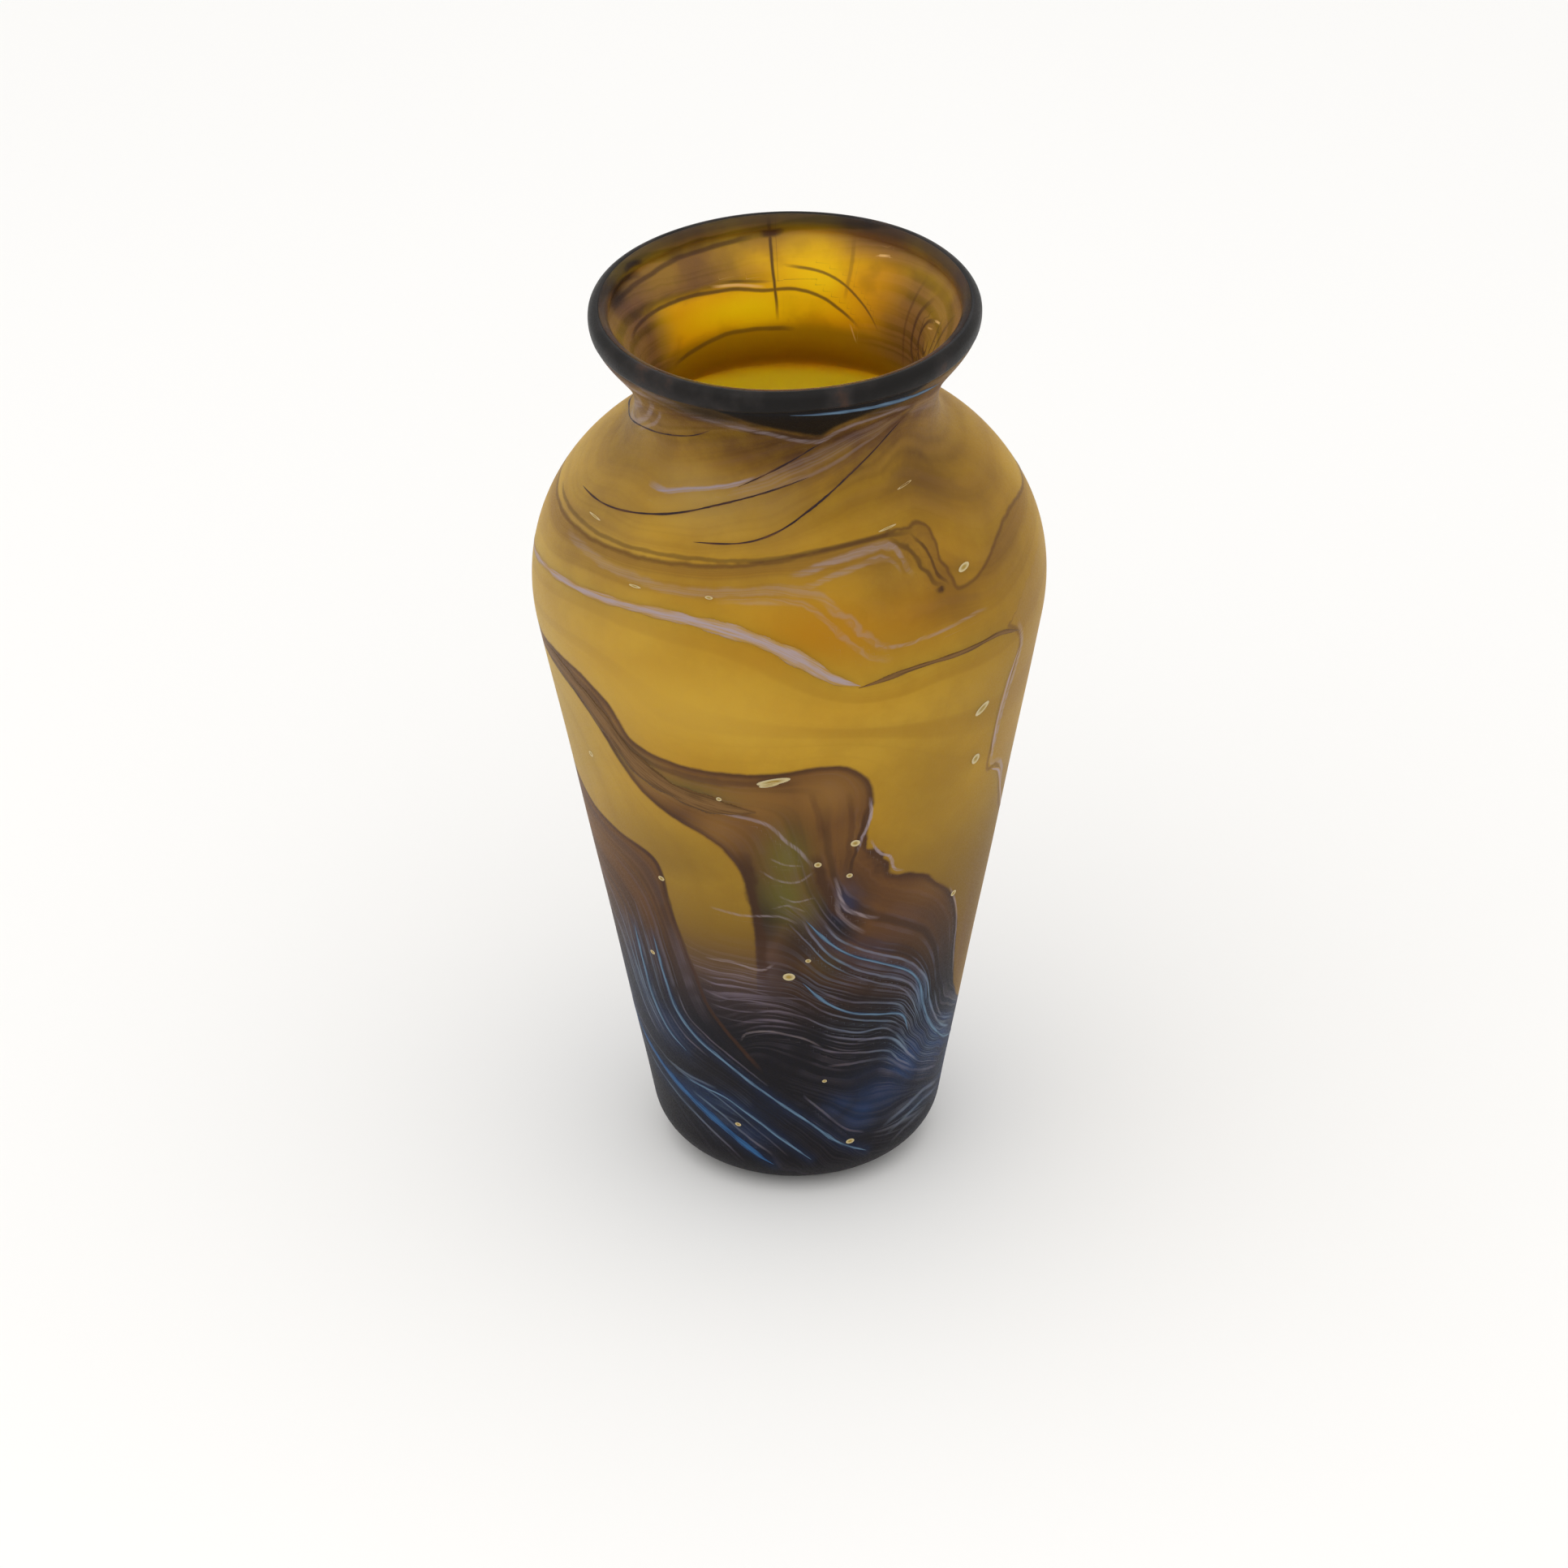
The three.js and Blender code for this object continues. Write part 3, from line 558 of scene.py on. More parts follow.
# Soft patches of (azimuth, height, half width, half height, strength).
PATCHES = {
    # In the amber: smoky towards brown, duller with painted shade, milky with a painted sheen, brighter,
    # golden, and near black under the lip with painted shade.
    "smoke_and_shade": [
        (66, 64, 9, 20, 0.6), (58, 203, 32, 15, 0.85), (26, 205, 22, 10, 0.8), (-84, 204, 32, 12, 0.85),
        (66, 190, 22, 12, 0.45), (28, 182, 12, 7, 0.5), (38, 177, 14, 9, 0.45), (64, 176, 16, 12, 0.4),
        (-66, 185, 20, 16, 0.42), (0, 188, 60, 6, 0.15), (48, 164, 14, 5, 0.2), (180, 200, 40, 16, 0.6),
        (120, 196, 40, 10, 0.4),
    ],
    # Dull patches of amber; the same mix carries the painted shade that darkens the amber down the wall.
    "dull_and_low_shade": [
        (62, 145, 30, 46, 0.5), (38, 120, 22, 28, 0.5), (-68, 120, 20, 26, 0.45), (30, 142, 18, 10, 0.22),
        (65, 66, 8, 20, 1.0), (30, 164, 30, 8, 0.25), (-36, 104, 34, 15, 0.8),
    ],
    # Milky patches with a painted sheen, most of it at the left side.
    "hazy": [
        (-68, 150, 30, 56, 0.45), (-80, 190, 30, 16, 0.3), (-32, 197, 26, 6, 0.5), (-8, 197, 14, 6, 0.3),
    ],
    "brighter": [(-22, 154, 28, 12, 0.6), (-36, 166, 20, 8, 0.3)],
    "gold": [
        (6, 173, 20, 8, 1.0), (30, 174, 16, 7, 0.75), (-30, 157, 40, 10, 0.25), (-18, 207, 12, 4, 0.3),
        (0, 155, 20, 6, 0.3), (44, 184, 12, 7, 0.3),
    ],
    # Near black under the lip: dark glass with painted shade.
    "ink_and_lip_shade": [
        (2, 214, 38, 8, 0.34), (-24, 223, 20, 4.6, 0.9), (-6, 221, 12, 3, 0.8), (30, 223, 20, 4.6, 0.8),
    ],
    # In the dark glass: near black, olive, blue, and where the brown is thin.
    "night": [
        (-66, 70, 14, 16, 0.5), (62, 62, 8, 12, 0.4), (12, 90, 8, 13, 0.95), (1, 81, 10, 10, 0.75),
        (-9, 88, 7, 12, 0.7), (-50, 92, 28, 12, 0.25), (28, 74, 16, 8, 0.6),
    ],
    "olive": [
        (-2, 110, 6.5, 10, 0.85), (-3, 98, 7, 10, 1.0), (3, 94, 5, 7, 0.7), (-40, 131, 8, 4, 0.4),
        (-26, 129, 12, 3, 0.45), (8, 76, 5, 4, 0.3),
    ],
    "blue": [
        (16, 28.5, 7, 4, 0.4), (24, 24.5, 8, 5, 0.6), (42, 37, 9, 8, 0.8), (32, 30, 14, 8, 0.4),
        (-40, 27, 26, 4.5, 0.35), (-22, 19, 14, 4, 0.3), (-60, 60, 8, 16, 0.35), (-50, 46, 12, 7, 0.35),
        (56, 20, 18, 6, 0.2), (60, 36, 16, 9, 0.6), (100, 24, 30, 14, 0.7), (170, 30, 60, 18, 0.8),
        (-120, 44, 36, 22, 0.7), (14, 96, 4, 6, 0.5), (22, 80, 10, 4, 0.35),
    ],
    "thin": [
        (-66, 148, 16, 5, 0.75), (-48, 141, 10, 5, 0.7), (-35, 129, 13, 7, 1.0), (-14, 128, 18, 7, 0.8),
        (8, 130, 10, 8, 0.8), (-19, 118, 8, 8, 0.7), (-62, 98, 20, 6, 0.25), (44, 92, 12, 5, 0.3),
        (180, 120, 60, 14, 0.4), (13, 116, 5, 10, 0.3),
    ],
    # Where fine striations show, where they are pale blue-grey instead of lilac, and where lines crinkle.
    "lined": [
        (20, 70, 26, 10, 0.6), (44, 52, 14, 16, 0.78), (58, 36, 20, 8, 0.8), (26, 54, 24, 8, 0.8),
        (-21, 67, 13, 10, 1.1), (-8, 60, 14, 6, 0.6), (-50, 62, 12, 18, 0.55), (-66, 66, 10, 16, 0.45),
        (40, 38, 16, 7, 0.6), (-30, 26, 26, 5, 0.3), (46, 18, 18, 4, 0.4), (120, 44, 50, 20, 0.7),
        (-140, 60, 40, 26, 0.6), (-2, 98, 7, 8, 0.3), (12, 92, 6, 8, 0.4),
    ],
    "pale": [
        (10, 77, 12, 9, 0.9), (30, 70, 14, 10, 0.5), (46, 54, 9, 16, 0.9), (58, 38, 16, 8, 1.0),
        (26, 55, 18, 6, 0.8), (36, 44, 12, 7, 0.8), (-56, 60, 14, 18, 0.9), (-46, 27, 44, 12, 0.9),
        (52, 18, 20, 6, 0.8), (0, 72, 9, 6, 0.4), (140, 56, 50, 20, 0.8), (-130, 56, 40, 20, 0.8),
    ],
    "crinkle": [(34, 184, 9, 8, 1.0), (16, 172, 12, 9, 1.0), (22, 110, 8, 12, 0.8), (6, 176, 10, 6, 0.5)],
}
# Where the smoke that gathers towards the lip is thinner.
CLEARER = [(-32, 199, 18, 7, 0.45)]
# The blue glow beside some trails, as (trail, half width, strength).
HALOS = [
    ("foot_trail_1", 2.2, 0.18), ("foot_trail_2", 1.6, 0.2), ("foot_trail_3", 1.8, 0.2),
    ("foot_trail_4", 2.0, 0.15), ("pale_trail_1", 2.0, 0.15), ("back_blue_trail", 2.4, 0.4),
]


# ======== Materials ========

def colour(code):
    """Linear colour from a web colour."""
    values = [int(code[i:i + 2], 16) / 255 for i in (1, 3, 5)]
    return tuple(v / 12.92 if v <= 0.04045 else ((v + 0.055) / 1.055) ** 2.4 for v in values) + (1.0,)


class Shader:
    """Short names for the nodes that the glass materials use."""

    def __init__(self, name):
        self.material = bpy.data.materials.new(name)
        self.material.use_nodes = True
        self.tree = self.material.node_tree
        self.surface = self.tree.nodes["Principled BSDF"]

    def add(self, kind, **settings):
        node = self.tree.nodes.new(kind)
        for key, value in settings.items():
            setattr(node, key, value)
        return node

    def join(self, value, socket):
        if isinstance(value, bpy.types.NodeSocket):
            self.tree.links.new(value, socket)
        else:
            socket.default_value = value

    def attribute(self, key):
        return self.add("ShaderNodeAttribute", attribute_name=key).outputs["Fac"]

    def position(self):
        return self.add("ShaderNodeTexCoord").outputs["Object"]

    def math(self, operation, a, b=0.0, c=0.0):
        node = self.add("ShaderNodeMath", operation=operation)
        for value, socket in zip((a, b, c), node.inputs):
            self.join(value, socket)
        return node.outputs[0]

    def times(self, a, b):
        return self.math("MULTIPLY", a, b)

    def plus(self, a, b):
        return self.math("ADD", a, b)

    def larger(self, a, b):
        return self.math("MAXIMUM", a, b)

    def sway(self, noise, size):
        """Noise made to swing about zero, size units from end to end."""
        return self.times(self.math("SUBTRACT", noise, 0.5), size)

    def step(self, value, low, high, start=0.0, end=1.0):
        """A soft step from start to end while value goes from low to high."""
        node = self.add("ShaderNodeMapRange", interpolation_type="SMOOTHSTEP")
        sockets = {"Value": value, "From Min": low, "From Max": high, "To Min": start, "To Max": end}
        for key, item in sockets.items():
            self.join(item, node.inputs[key])
        return node.outputs[0]

    def mix(self, share, a, b):
        """Colour a where share is 0, and colour b where it is 1."""
        factor, colour_a, colour_b = 0, 6, 7      # the mix node's sockets for colours
        node = self.add("ShaderNodeMix", data_type="RGBA")
        self.join(share, node.inputs[factor])
        self.join(a, node.inputs[colour_a])
        self.join(b, node.inputs[colour_b])
        return node.outputs[2]

    def noise(self, scale, detail=2.0, where=None, roughness=0.5):
        node = self.add("ShaderNodeTexNoise", noise_dimensions="3D")
        self.join(where if where is not None else self.position(), node.inputs["Vector"])
        self.join(scale, node.inputs["Scale"])
        self.join(detail, node.inputs["Detail"])
        self.join(roughness, node.inputs["Roughness"])
        return node.outputs[0]

    def stripes(self, along, scale, detail=2.0, roughness=0.6):
        """Noise that changes only with one value, for striations."""
        node = self.add("ShaderNodeTexNoise", noise_dimensions="1D")
        self.join(along, node.inputs["W"])
        self.join(scale, node.inputs["Scale"])
        self.join(detail, node.inputs["Detail"])
        self.join(roughness, node.inputs["Roughness"])
        return node.outputs[0]

    def threads(self, key, layers, wander):
        """How strongly any of a set's thin lines lies here, with the gaps disturbed by wander."""
        total = 0.0
        for k in range(len(layers)):
            gap = self.math("ABSOLUTE", self.plus(self.attribute(f"{key}_{k}_gap"), wander))
            line = self.times(self.attribute(f"{key}_{k}"), self.step(gap, 0.3, 1.2, 1.0, 0.0))
            total = self.larger(line, total)
        return total

    def finish(self, base, glow_through, roughness=0.5, grain=0.00006):
        """Satin glass: a soft skin over glass that light passes through."""
        self.join(base, self.surface.inputs["Base Color"])
        self.surface.inputs["Subsurface Weight"].default_value = glow_through
        self.surface.inputs["Subsurface Radius"].default_value = (1.0, 0.8, 0.25)
        self.surface.inputs["Subsurface Scale"].default_value = 0.012
        self.surface.inputs["Specular IOR Level"].default_value = 0.12
        self.surface.inputs["IOR"].default_value = 1.5
        etched = self.noise(2600.0, 2.0)
        rough = self.step(etched, 0.3, 0.7, roughness - 0.05, roughness + 0.08)
        self.join(rough, self.surface.inputs["Roughness"])
        bump = self.add("ShaderNodeBump")
        bump.inputs["Strength"].default_value = 0.35
        bump.inputs["Distance"].default_value = grain
        self.join(etched, bump.inputs["Height"])
        self.join(bump.outputs[0], self.surface.inputs["Normal"])
        return self.material


AMBER_LIGHT, AMBER, AMBER_DEEP, AMBER_DULL_SHADED = map(colour, ("#b48e26", "#aa811a", "#946c14", "#76591c"))
AMBER_MILKY_SHEEN, AMBER_BRIGHT, GOLDEN, LILAC_HAZE = map(colour, ("#b0965e", "#c6a23c", "#a6740a", "#8e7660"))
BROWN_VEIL, BROWN_DARK, BROWN_EDGE, BROWN_THIN = map(colour, ("#65421d", "#3e2616", "#543618", "#86602a"))
MAUVE_BROWN, SMOKY, SUNK_MAUVE, OLIVE_GLASS = map(colour, ("#593b2c", "#4e3019", "#725850", "#625a22"))
NIGHT, NIGHT_BLUE, INK_AND_LIP_SHADE, PALE_WISP = map(colour, ("#131116", "#203c68", "#0f0c0c", "#9c8e92"))
LINE_BLUE, LINE_PALE, LINE_LILAC, STRAND_BLUE = map(colour, ("#4a6682", "#727e88", "#70646f", "#688094"))
# The inside's colours: brighter yellows that paint the glow of light coming through the wall, and an olive
# for mottling and painted shade.
INNER_GLOW_YELLOW, INNER_GLOW_GOLD, INNER_MOTTLE_AND_SHADE = map(colour, ("#eac206", "#d09c06", "#907004"))
INNER_DEEP_GLOW, INNER_GLINT = map(colour, ("#ffdc80", "#dcb878"))
INNER_BROWN, INNER_DARK = map(colour, ("#664838", "#3c281e"))


# The fields and stripes below are in millimetres, and the scales of the noise are per metre.

def amber_glass(s, flow, drift):
    """Amber in drawn streaks, with its golden and smoky patches, dull patches with painted shade, and milky
    patches with a painted sheen.
    """
    drawn = s.stripes(flow, 0.16, 4.0)
    base = s.mix(s.step(drift, 0.35, 0.65), AMBER, AMBER_LIGHT)
    base = s.mix(s.step(drawn, 0.45, 0.75, 0.0, 0.5), base, AMBER_DEEP)
    mottle = s.step(s.noise(85.0, 5.0, roughness=0.65), 0.36, 0.64)
    base = s.mix(s.times(mottle, 0.3), base, AMBER_DEEP)
    patches = {"gold": GOLDEN, "dull_and_low_shade": AMBER_DULL_SHADED, "hazy": AMBER_MILKY_SHEEN, "brighter": AMBER_BRIGHT,
               "seam_haze": LILAC_HAZE}
    for key, shade in patches.items():
        base = s.mix(s.attribute(key), base, shade)
    smoke_and_shade = s.times(s.attribute("smoke_and_shade"), s.step(drawn, 0.3, 0.7, 0.72, 1.0))
    smoke_and_shade = s.times(smoke_and_shade, s.math("MULTIPLY_ADD", mottle, 0.22, 0.86))
    smoky = s.mix(s.step(s.stripes(flow, 0.45, 3.0), 0.35, 0.7), SMOKY, MAUVE_BROWN)
    return s.mix(smoke_and_shade, base, smoky)


def shoulder_lines(s, base, flow, ragged):
    """The brown veil that fades downwards from a crisp edge, and the thin line along the seam."""
    band = s.plus(s.attribute("band"), ragged)
    crisp = s.times(s.step(band, -0.5, 0.2), s.step(band, 0.3, 1.0, 0.6, 0.0))
    faded = s.times(s.step(band, -0.4, 0.4), s.step(band, 0.5, 10.0, 0.55, 0.0))
    faded = s.times(faded, s.step(s.stripes(flow, 0.5, 2.0), 0.35, 0.65, 0.6, 1.0))
    base = s.mix(faded, base, BROWN_VEIL)
    base = s.mix(crisp, base, BROWN_EDGE)
    seam = s.plus(s.attribute("seam"), s.times(ragged, 0.5))
    seam_line = s.times(s.step(seam, -1.2, -0.1), s.step(seam, 0.0, 0.8, 0.6, 0.0))
    return s.mix(seam_line, base, BROWN_VEIL)


def brown_glass(s, bands, veil):
    """The folded brown glass, dark along its edge, with thinner, sunk and olive patches."""
    brown = s.mix(s.step(bands, 0.36, 0.7, 0.0, 0.75), BROWN_VEIL, BROWN_DARK)
    for key, shade in {"thin": BROWN_THIN, "sunk": SUNK_MAUVE, "olive": OLIVE_GLASS}.items():
        brown = s.mix(s.attribute(key), brown, shade)
    edge = s.times(s.step(veil, 0.0, 0.5), s.step(veil, 0.6, 2.2, 0.6, 0.0))
    edge = s.times(edge, s.step(s.attribute("sunk"), 0.0, 0.3, 1.0, 0.0))
    return s.mix(edge, brown, BROWN_DARK)


def dark_glass(s, flow, drift, veil, wander):
    """Brown glass that turns blue-black towards the foot, with blue-grey and lilac striations."""
    bands = s.stripes(flow, 0.26, 3.0)
    blue = s.times(s.attribute("blue"), s.step(bands, 0.35, 0.6, 0.45, 1.0))
    night = s.mix(blue, NIGHT, NIGHT_BLUE)
    dark = s.mix(s.attribute("night"), brown_glass(s, bands, veil), night)
    dark = s.mix(s.attribute("halo"), dark, NIGHT_BLUE)
    patchy = s.step(s.noise(75.0, 2.0), 0.38, 0.62, 0.1, 1.0)
    tint = s.mix(s.attribute("pale"), LINE_LILAC, s.mix(s.step(drift, 0.4, 0.6), LINE_BLUE, LINE_PALE))
    for scale, low, high, share in ((0.6, 0.52, 0.66, 0.55), (1.3, 0.52, 0.62, 0.75)):
        line = s.times(s.step(s.stripes(flow, scale, 2.0), low, high, 0.0, share), patchy)
        dark = s.mix(s.times(line, s.attribute("lined")), dark, tint)
    broken = s.step(s.noise(110.0, 2.0), 0.3, 0.6, 0.4, 1.0)
    strand = s.times(s.threads("strand", STRAND_LAYERS, wander), broken)
    return s.mix(strand, dark, s.mix(s.attribute("pale"), LINE_LILAC, STRAND_BLUE))


def outside_colour(s):
    """Amber glass, its lines, the dark glass over it, then the thin shades, the wisps, and the ink with
    painted shade under the lip.
    """
    drift = s.noise(22.0, 3.0)
    fine = s.noise(160.0, 3.0)
    crinkle = s.times(s.sway(s.noise(250.0, 1.5), s.attribute("crinkle")), 5.0)
    ragged = s.plus(s.sway(fine, 1.2), crinkle)
    wander = s.math("MULTIPLY_ADD", crinkle, 0.8, s.sway(fine, 1.8))
    lap = s.step(s.attribute("lap"), -0.15, 0.15)
    to_left = s.math("SUBTRACT", s.attribute("flow_left"), s.attribute("flow"))
    flow = s.math("MULTIPLY_ADD", to_left, lap, s.attribute("flow"))
    flow = s.plus(s.plus(flow, s.sway(fine, 0.5)), crinkle)
    veil = s.plus(s.attribute("veil"), ragged)

    base = shoulder_lines(s, amber_glass(s, flow, drift), flow, ragged)
    cover = s.larger(s.step(veil, -0.5, 0.5), s.attribute("sunk"))
    base = s.mix(cover, base, dark_glass(s, flow, drift, veil, wander))
    base = s.mix(s.threads("shade", SHADE_LAYERS, wander), base, BROWN_DARK)
    streaky = s.step(s.stripes(flow, 1.6, 2.0), 0.35, 0.6, 0.35, 1.0)
    base = s.mix(s.times(s.threads("wisp", WISP_LAYERS, wander), streaky), base, PALE_WISP)
    # The wedge and the ink under the lip: dark glass with painted shade.
    wedge = s.step(s.plus(s.attribute("wedge"), ragged), -0.8, 2.2)
    return s.mix(s.larger(s.attribute("ink_and_lip_shade"), wedge), base, INK_AND_LIP_SHADE)


def inside_colour(s):
    """The glowing inside: yellow glass painted brighter for the light that comes through the wall, with
    brown veils near the mouth and thin dark arcs.
    """
    drift = s.noise(30.0, 3.0)
    mottle = s.noise(110.0, 3.0)
    base = s.mix(s.step(drift, 0.35, 0.65), INNER_GLOW_GOLD, INNER_GLOW_YELLOW)
    base = s.mix(s.step(mottle, 0.48, 0.68, 0.0, 0.4), base, INNER_MOTTLE_AND_SHADE)
    # Inside, this is painted shade: olive in the narrow throat and in soft shaded patches.
    base = s.mix(s.attribute("smoke_and_shade"), base, INNER_MOTTLE_AND_SHADE)
    # Painted glow: paler, brighter yellow towards the bottom of the inside.
    base = s.mix(s.attribute("gold"), base, INNER_DEEP_GLOW)
    along = s.plus(s.attribute("flow"), s.times(mottle, 1.5))
    brown = s.mix(s.step(s.stripes(along, 0.35, 4.0), 0.42, 0.66), INNER_BROWN, INNER_DARK)
    patchy = s.times(s.attribute("veil"), s.step(drift, 0.4, 0.62, 1.0, 0.8))
    base = s.mix(patchy, base, brown)
    # Painted glow in soft lit patches.
    base = s.mix(s.attribute("bright"), base, INNER_GLOW_YELLOW)
    wander = s.sway(mottle, 1.6)
    base = s.mix(s.threads("arc", ARC_LAYERS, wander), base, INNER_DARK)
    base = s.mix(s.threads("glint", GLINT_LAYERS, wander), base, INNER_GLINT)
    # Ink with painted shade at the rim.
    return s.mix(s.attribute("ink_and_lip_shade"), base, INK_AND_LIP_SHADE)


def body_material():
    s = Shader("satin_amber_glass")
    inner = s.attribute("inner")
    base = s.mix(inner, outside_colour(s), inside_colour(s))
    material = s.finish(base, glow_through=0.65)
    s.join(s.step(inner, 0.0, 1.0, 0.65, 0.8), s.surface.inputs["Subsurface Weight"])
    s.join(s.step(inner, 0.0, 1.0, 0.012, 0.015), s.surface.inputs["Subsurface Scale"])
    return material


def lip_material():
    s = Shader("satin_ink_glass")
    drift = s.noise(90.0, 4.0)
    round_lip = s.stripes(s.math("MULTIPLY_ADD", s.noise(12.0, 1.0), 9.0, s.attribute("round")), 0.5, 3.0)
    base = s.mix(s.step(drift, 0.4, 0.7), colour("#181615"), colour("#2c2827"))
    base = s.mix(s.step(round_lip, 0.58, 0.72, 0.0, 0.4), base, colour("#3a4250"))
    base = s.mix(s.step(drift, 0.58, 0.7, 0.0, 0.5), base, colour("#4d3323"))
    return s.finish(base, glow_through=0.12, roughness=0.42)


def trail_material(name, core, edge, spread=0.5):
    """A trail's colour is full along its middle, in uneven strands, and turns to another at its edges."""
    s = Shader(name)
    where = s.add("ShaderNodeCombineXYZ")
    s.join(s.times(s.attribute("along"), 0.14), where.inputs[0])
    s.join(s.times(s.attribute("across"), 2.2), where.inputs[1])
    strands = s.noise(1.0, 3.0, where.outputs[0])
    middle = s.plus(s.attribute("middle"), s.sway(strands, 3.0))
    base = s.mix(s.step(middle, 0.5 - spread, 0.5 + spread), colour(edge), colour(core))
    return s.finish(base, glow_through=0.0)


def scar_material():
    s = Shader("broken_cloudy_glass")
    base = s.mix(s.step(s.noise(300.0, 4.0), 0.35, 0.65), colour("#8c8468"), colour("#5f5636"))
    return s.finish(base, glow_through=0.5, roughness=0.55, grain=0.0002)


def seed_material():
    s = Shader("open_seeds")
    base = s.mix(s.attribute("middle"), colour("#e2cc8c"), colour("#b4903e"))
    return s.finish(base, glow_through=0.4, roughness=0.5)


# ======== The values that the body's colours read ========

def outside_fields(azimuth, height):
    """Every value that the outside's colours read, for arrays of places."""
    from_front = np.abs(azimuth)
    seam = depth_in(SEAM_EDGE, azimuth, height, SEAM_CLOSING)
    window = depth_in(WINDOW_EDGE, azimuth, height, [])
    halos = [([spot[:2] for spot in TRAILS[name][1]], half, power) for name, half, power in HALOS]
    values = {key: clouds(spots, azimuth, height) for key, spots in PATCHES.items()}
    values.update({
        "flow": joined_flow(RIGHT_FLOW, azimuth, height),
        "flow_left": joined_flow(LEFT_FLOW, azimuth, height),
        "lap": depth_in(LAP_EDGE, azimuth, height, []) * (1 - 0.985 * smoothstep(98, 132, from_front)),
        "veil": np.minimum(depth_in(VEIL_EDGE, azimuth, height, BELOW), -window),
        "sunk": smoothstep(92, 64, height) * smoothstep(-42, -34, azimuth) * smoothstep(0, -8, azimuth),
        "band": depth_in(BAND_EDGE, azimuth, height, BELOW),
        "seam": seam,
        "seam_haze": 0.14 * smoothstep(-0.5, 4.0, seam) * smoothstep(150, 96, from_front),
        "wedge": depth_in(LIP_SHADE_WEDGE_EDGE, azimuth, height, []),
        "halo": strokes(halos, azimuth, height),
        "lined": 0.08 + values["lined"],
    })
    # The glass is smoky and then near black towards the lip, partly painted shade under the lip, duller and
    # darker down the wall with painted shade, and black at the foot.
    everywhere = {
        "smoke_and_shade": 0.95 * smoothstep(186, 213, height) * (1 - clouds(CLEARER, azimuth, height)),
        "ink_and_lip_shade": 0.75 * smoothstep(221, 227, height),
        # Painted shade: the amber darkens down the wall.
        "dull_and_low_shade": smoothstep(150, 84, height + 12 * np.cos(np.radians(azimuth + 30))),
        "night": smoothstep(104, 50, height),
    }
    for key, share in everywhere.items():
        values[key] = np.maximum(values[key], share)
    for key, layers in (("wisp", WISP_LAYERS), ("shade", SHADE_LAYERS), ("strand", STRAND_LAYERS)):
        values.update(threads(key, layers, azimuth, height))
    return values


# Inside, azimuth runs from 0 to 360. These are the thin dark lines and the pale glints.
INNER_ARCS = [
    ([(266, 218.8), (250, 218.4), (232, 217.6), (212, 216.4), (200, 215.6), (188, 214.6), (176, 214.6),
      (166, 213.2), (156, 210.4), (148, 207.2)], 0.55, 0.75),
    ([(206, 217.8), (196, 217), (186, 216.4)], 0.4, 0.5),
    ([(180, 219.6), (168, 218.8), (158, 217), (150, 214.4), (143, 211.4), (138, 208)], 0.4, 0.7),
    ([(184.8, 230), (184.6, 225), (184.6, 220), (184, 215), (183.4, 207)], 0.7, 0.85),
    ([(188, 226), (184, 225.8), (180, 226.6)], 1.0, 0.95),
    ([(156, 226), (154.6, 220), (155, 213)], 0.9, 0.3),
    ([(246, 228.8), (240, 228.9), (234, 228.2)], 0.8, 0.9),
    ([(262, 225), (240, 224.4), (220, 224.6), (204, 224.8), (190, 225.4)], 0.6, 0.7),
    ([(262, 228.4), (246, 227), (236, 225.4)], 1.2, 0.9),
    ([(236, 203), (220, 204.4), (204, 205.2), (190, 205.2), (176, 204.6)], 0.8, 0.6),
    ([(122, 224), (122.4, 214), (121.6, 202)], 0.8, 0.4),
    ([(100, 221), (96, 216), (98, 210), (104, 207), (110, 211), (109, 217), (103, 219)], 0.7, 0.8),
    ([(94, 224), (90, 214), (93, 205), (104, 202), (115, 208), (116, 217), (112, 222)], 1.0, 0.7),
    ([(102, 215), (101, 212), (104, 211), (106, 214)], 0.6, 0.8),
]
INNER_GLINTS = [
    ([(210, 217.4), (200, 216.5), (188, 215.4)], 0.4, 0.8),
    ([(146, 223.6), (141, 224.2)], 0.3, 0.9),
    ([(104, 219), (99, 219.8)], 0.3, 0.8),
    ([(107, 216.4), (102, 217.4)], 0.25, 0.6),
    ([(104, 209.4), (99, 211)], 0.25, 0.6),
    ([(152, 207.5), (149, 203)], 0.4, 0.4),
]
ARC_LAYERS, GLINT_LAYERS = in_layers(INNER_ARCS), in_layers(INNER_GLINTS)
# Soft patches of the brown veils, of the gap in them, of painted shade, of painted glow in bright glass,
# and of ink with painted shade under the lip.
INNER_VEILS = [
    (102, 214, 13, 13, 0.75), (268, 210, 22, 14, 0.9), (0, 226, 70, 6, 0.9), (60, 218, 50, 12, 0.9),
    (-60, 218, 44, 12, 0.9), (206, 219, 20, 2.4, 0.3), (155, 222, 4, 5, 0.2),
]
INNER_GAP = [(167, 222, 10, 4.6, 0.5), (150, 217, 15, 6, 0.6)]
INNER_SHADE = [(246, 210, 12, 8, 0.7), (124, 208, 16, 7, 0.6), (160, 206.6, 30, 2.0, 0.3)]
# A spot of ink with painted shade under the rim.
INNER_LIP_SHADE_INK = [(254, 226.0, 10, 2.6, 0.85)]
INNER_LIT_GLOW = [(200, 211, 26, 4.0, 0.9), (168, 217, 12, 6, 0.9), (164, 212, 14, 4, 0.5)]


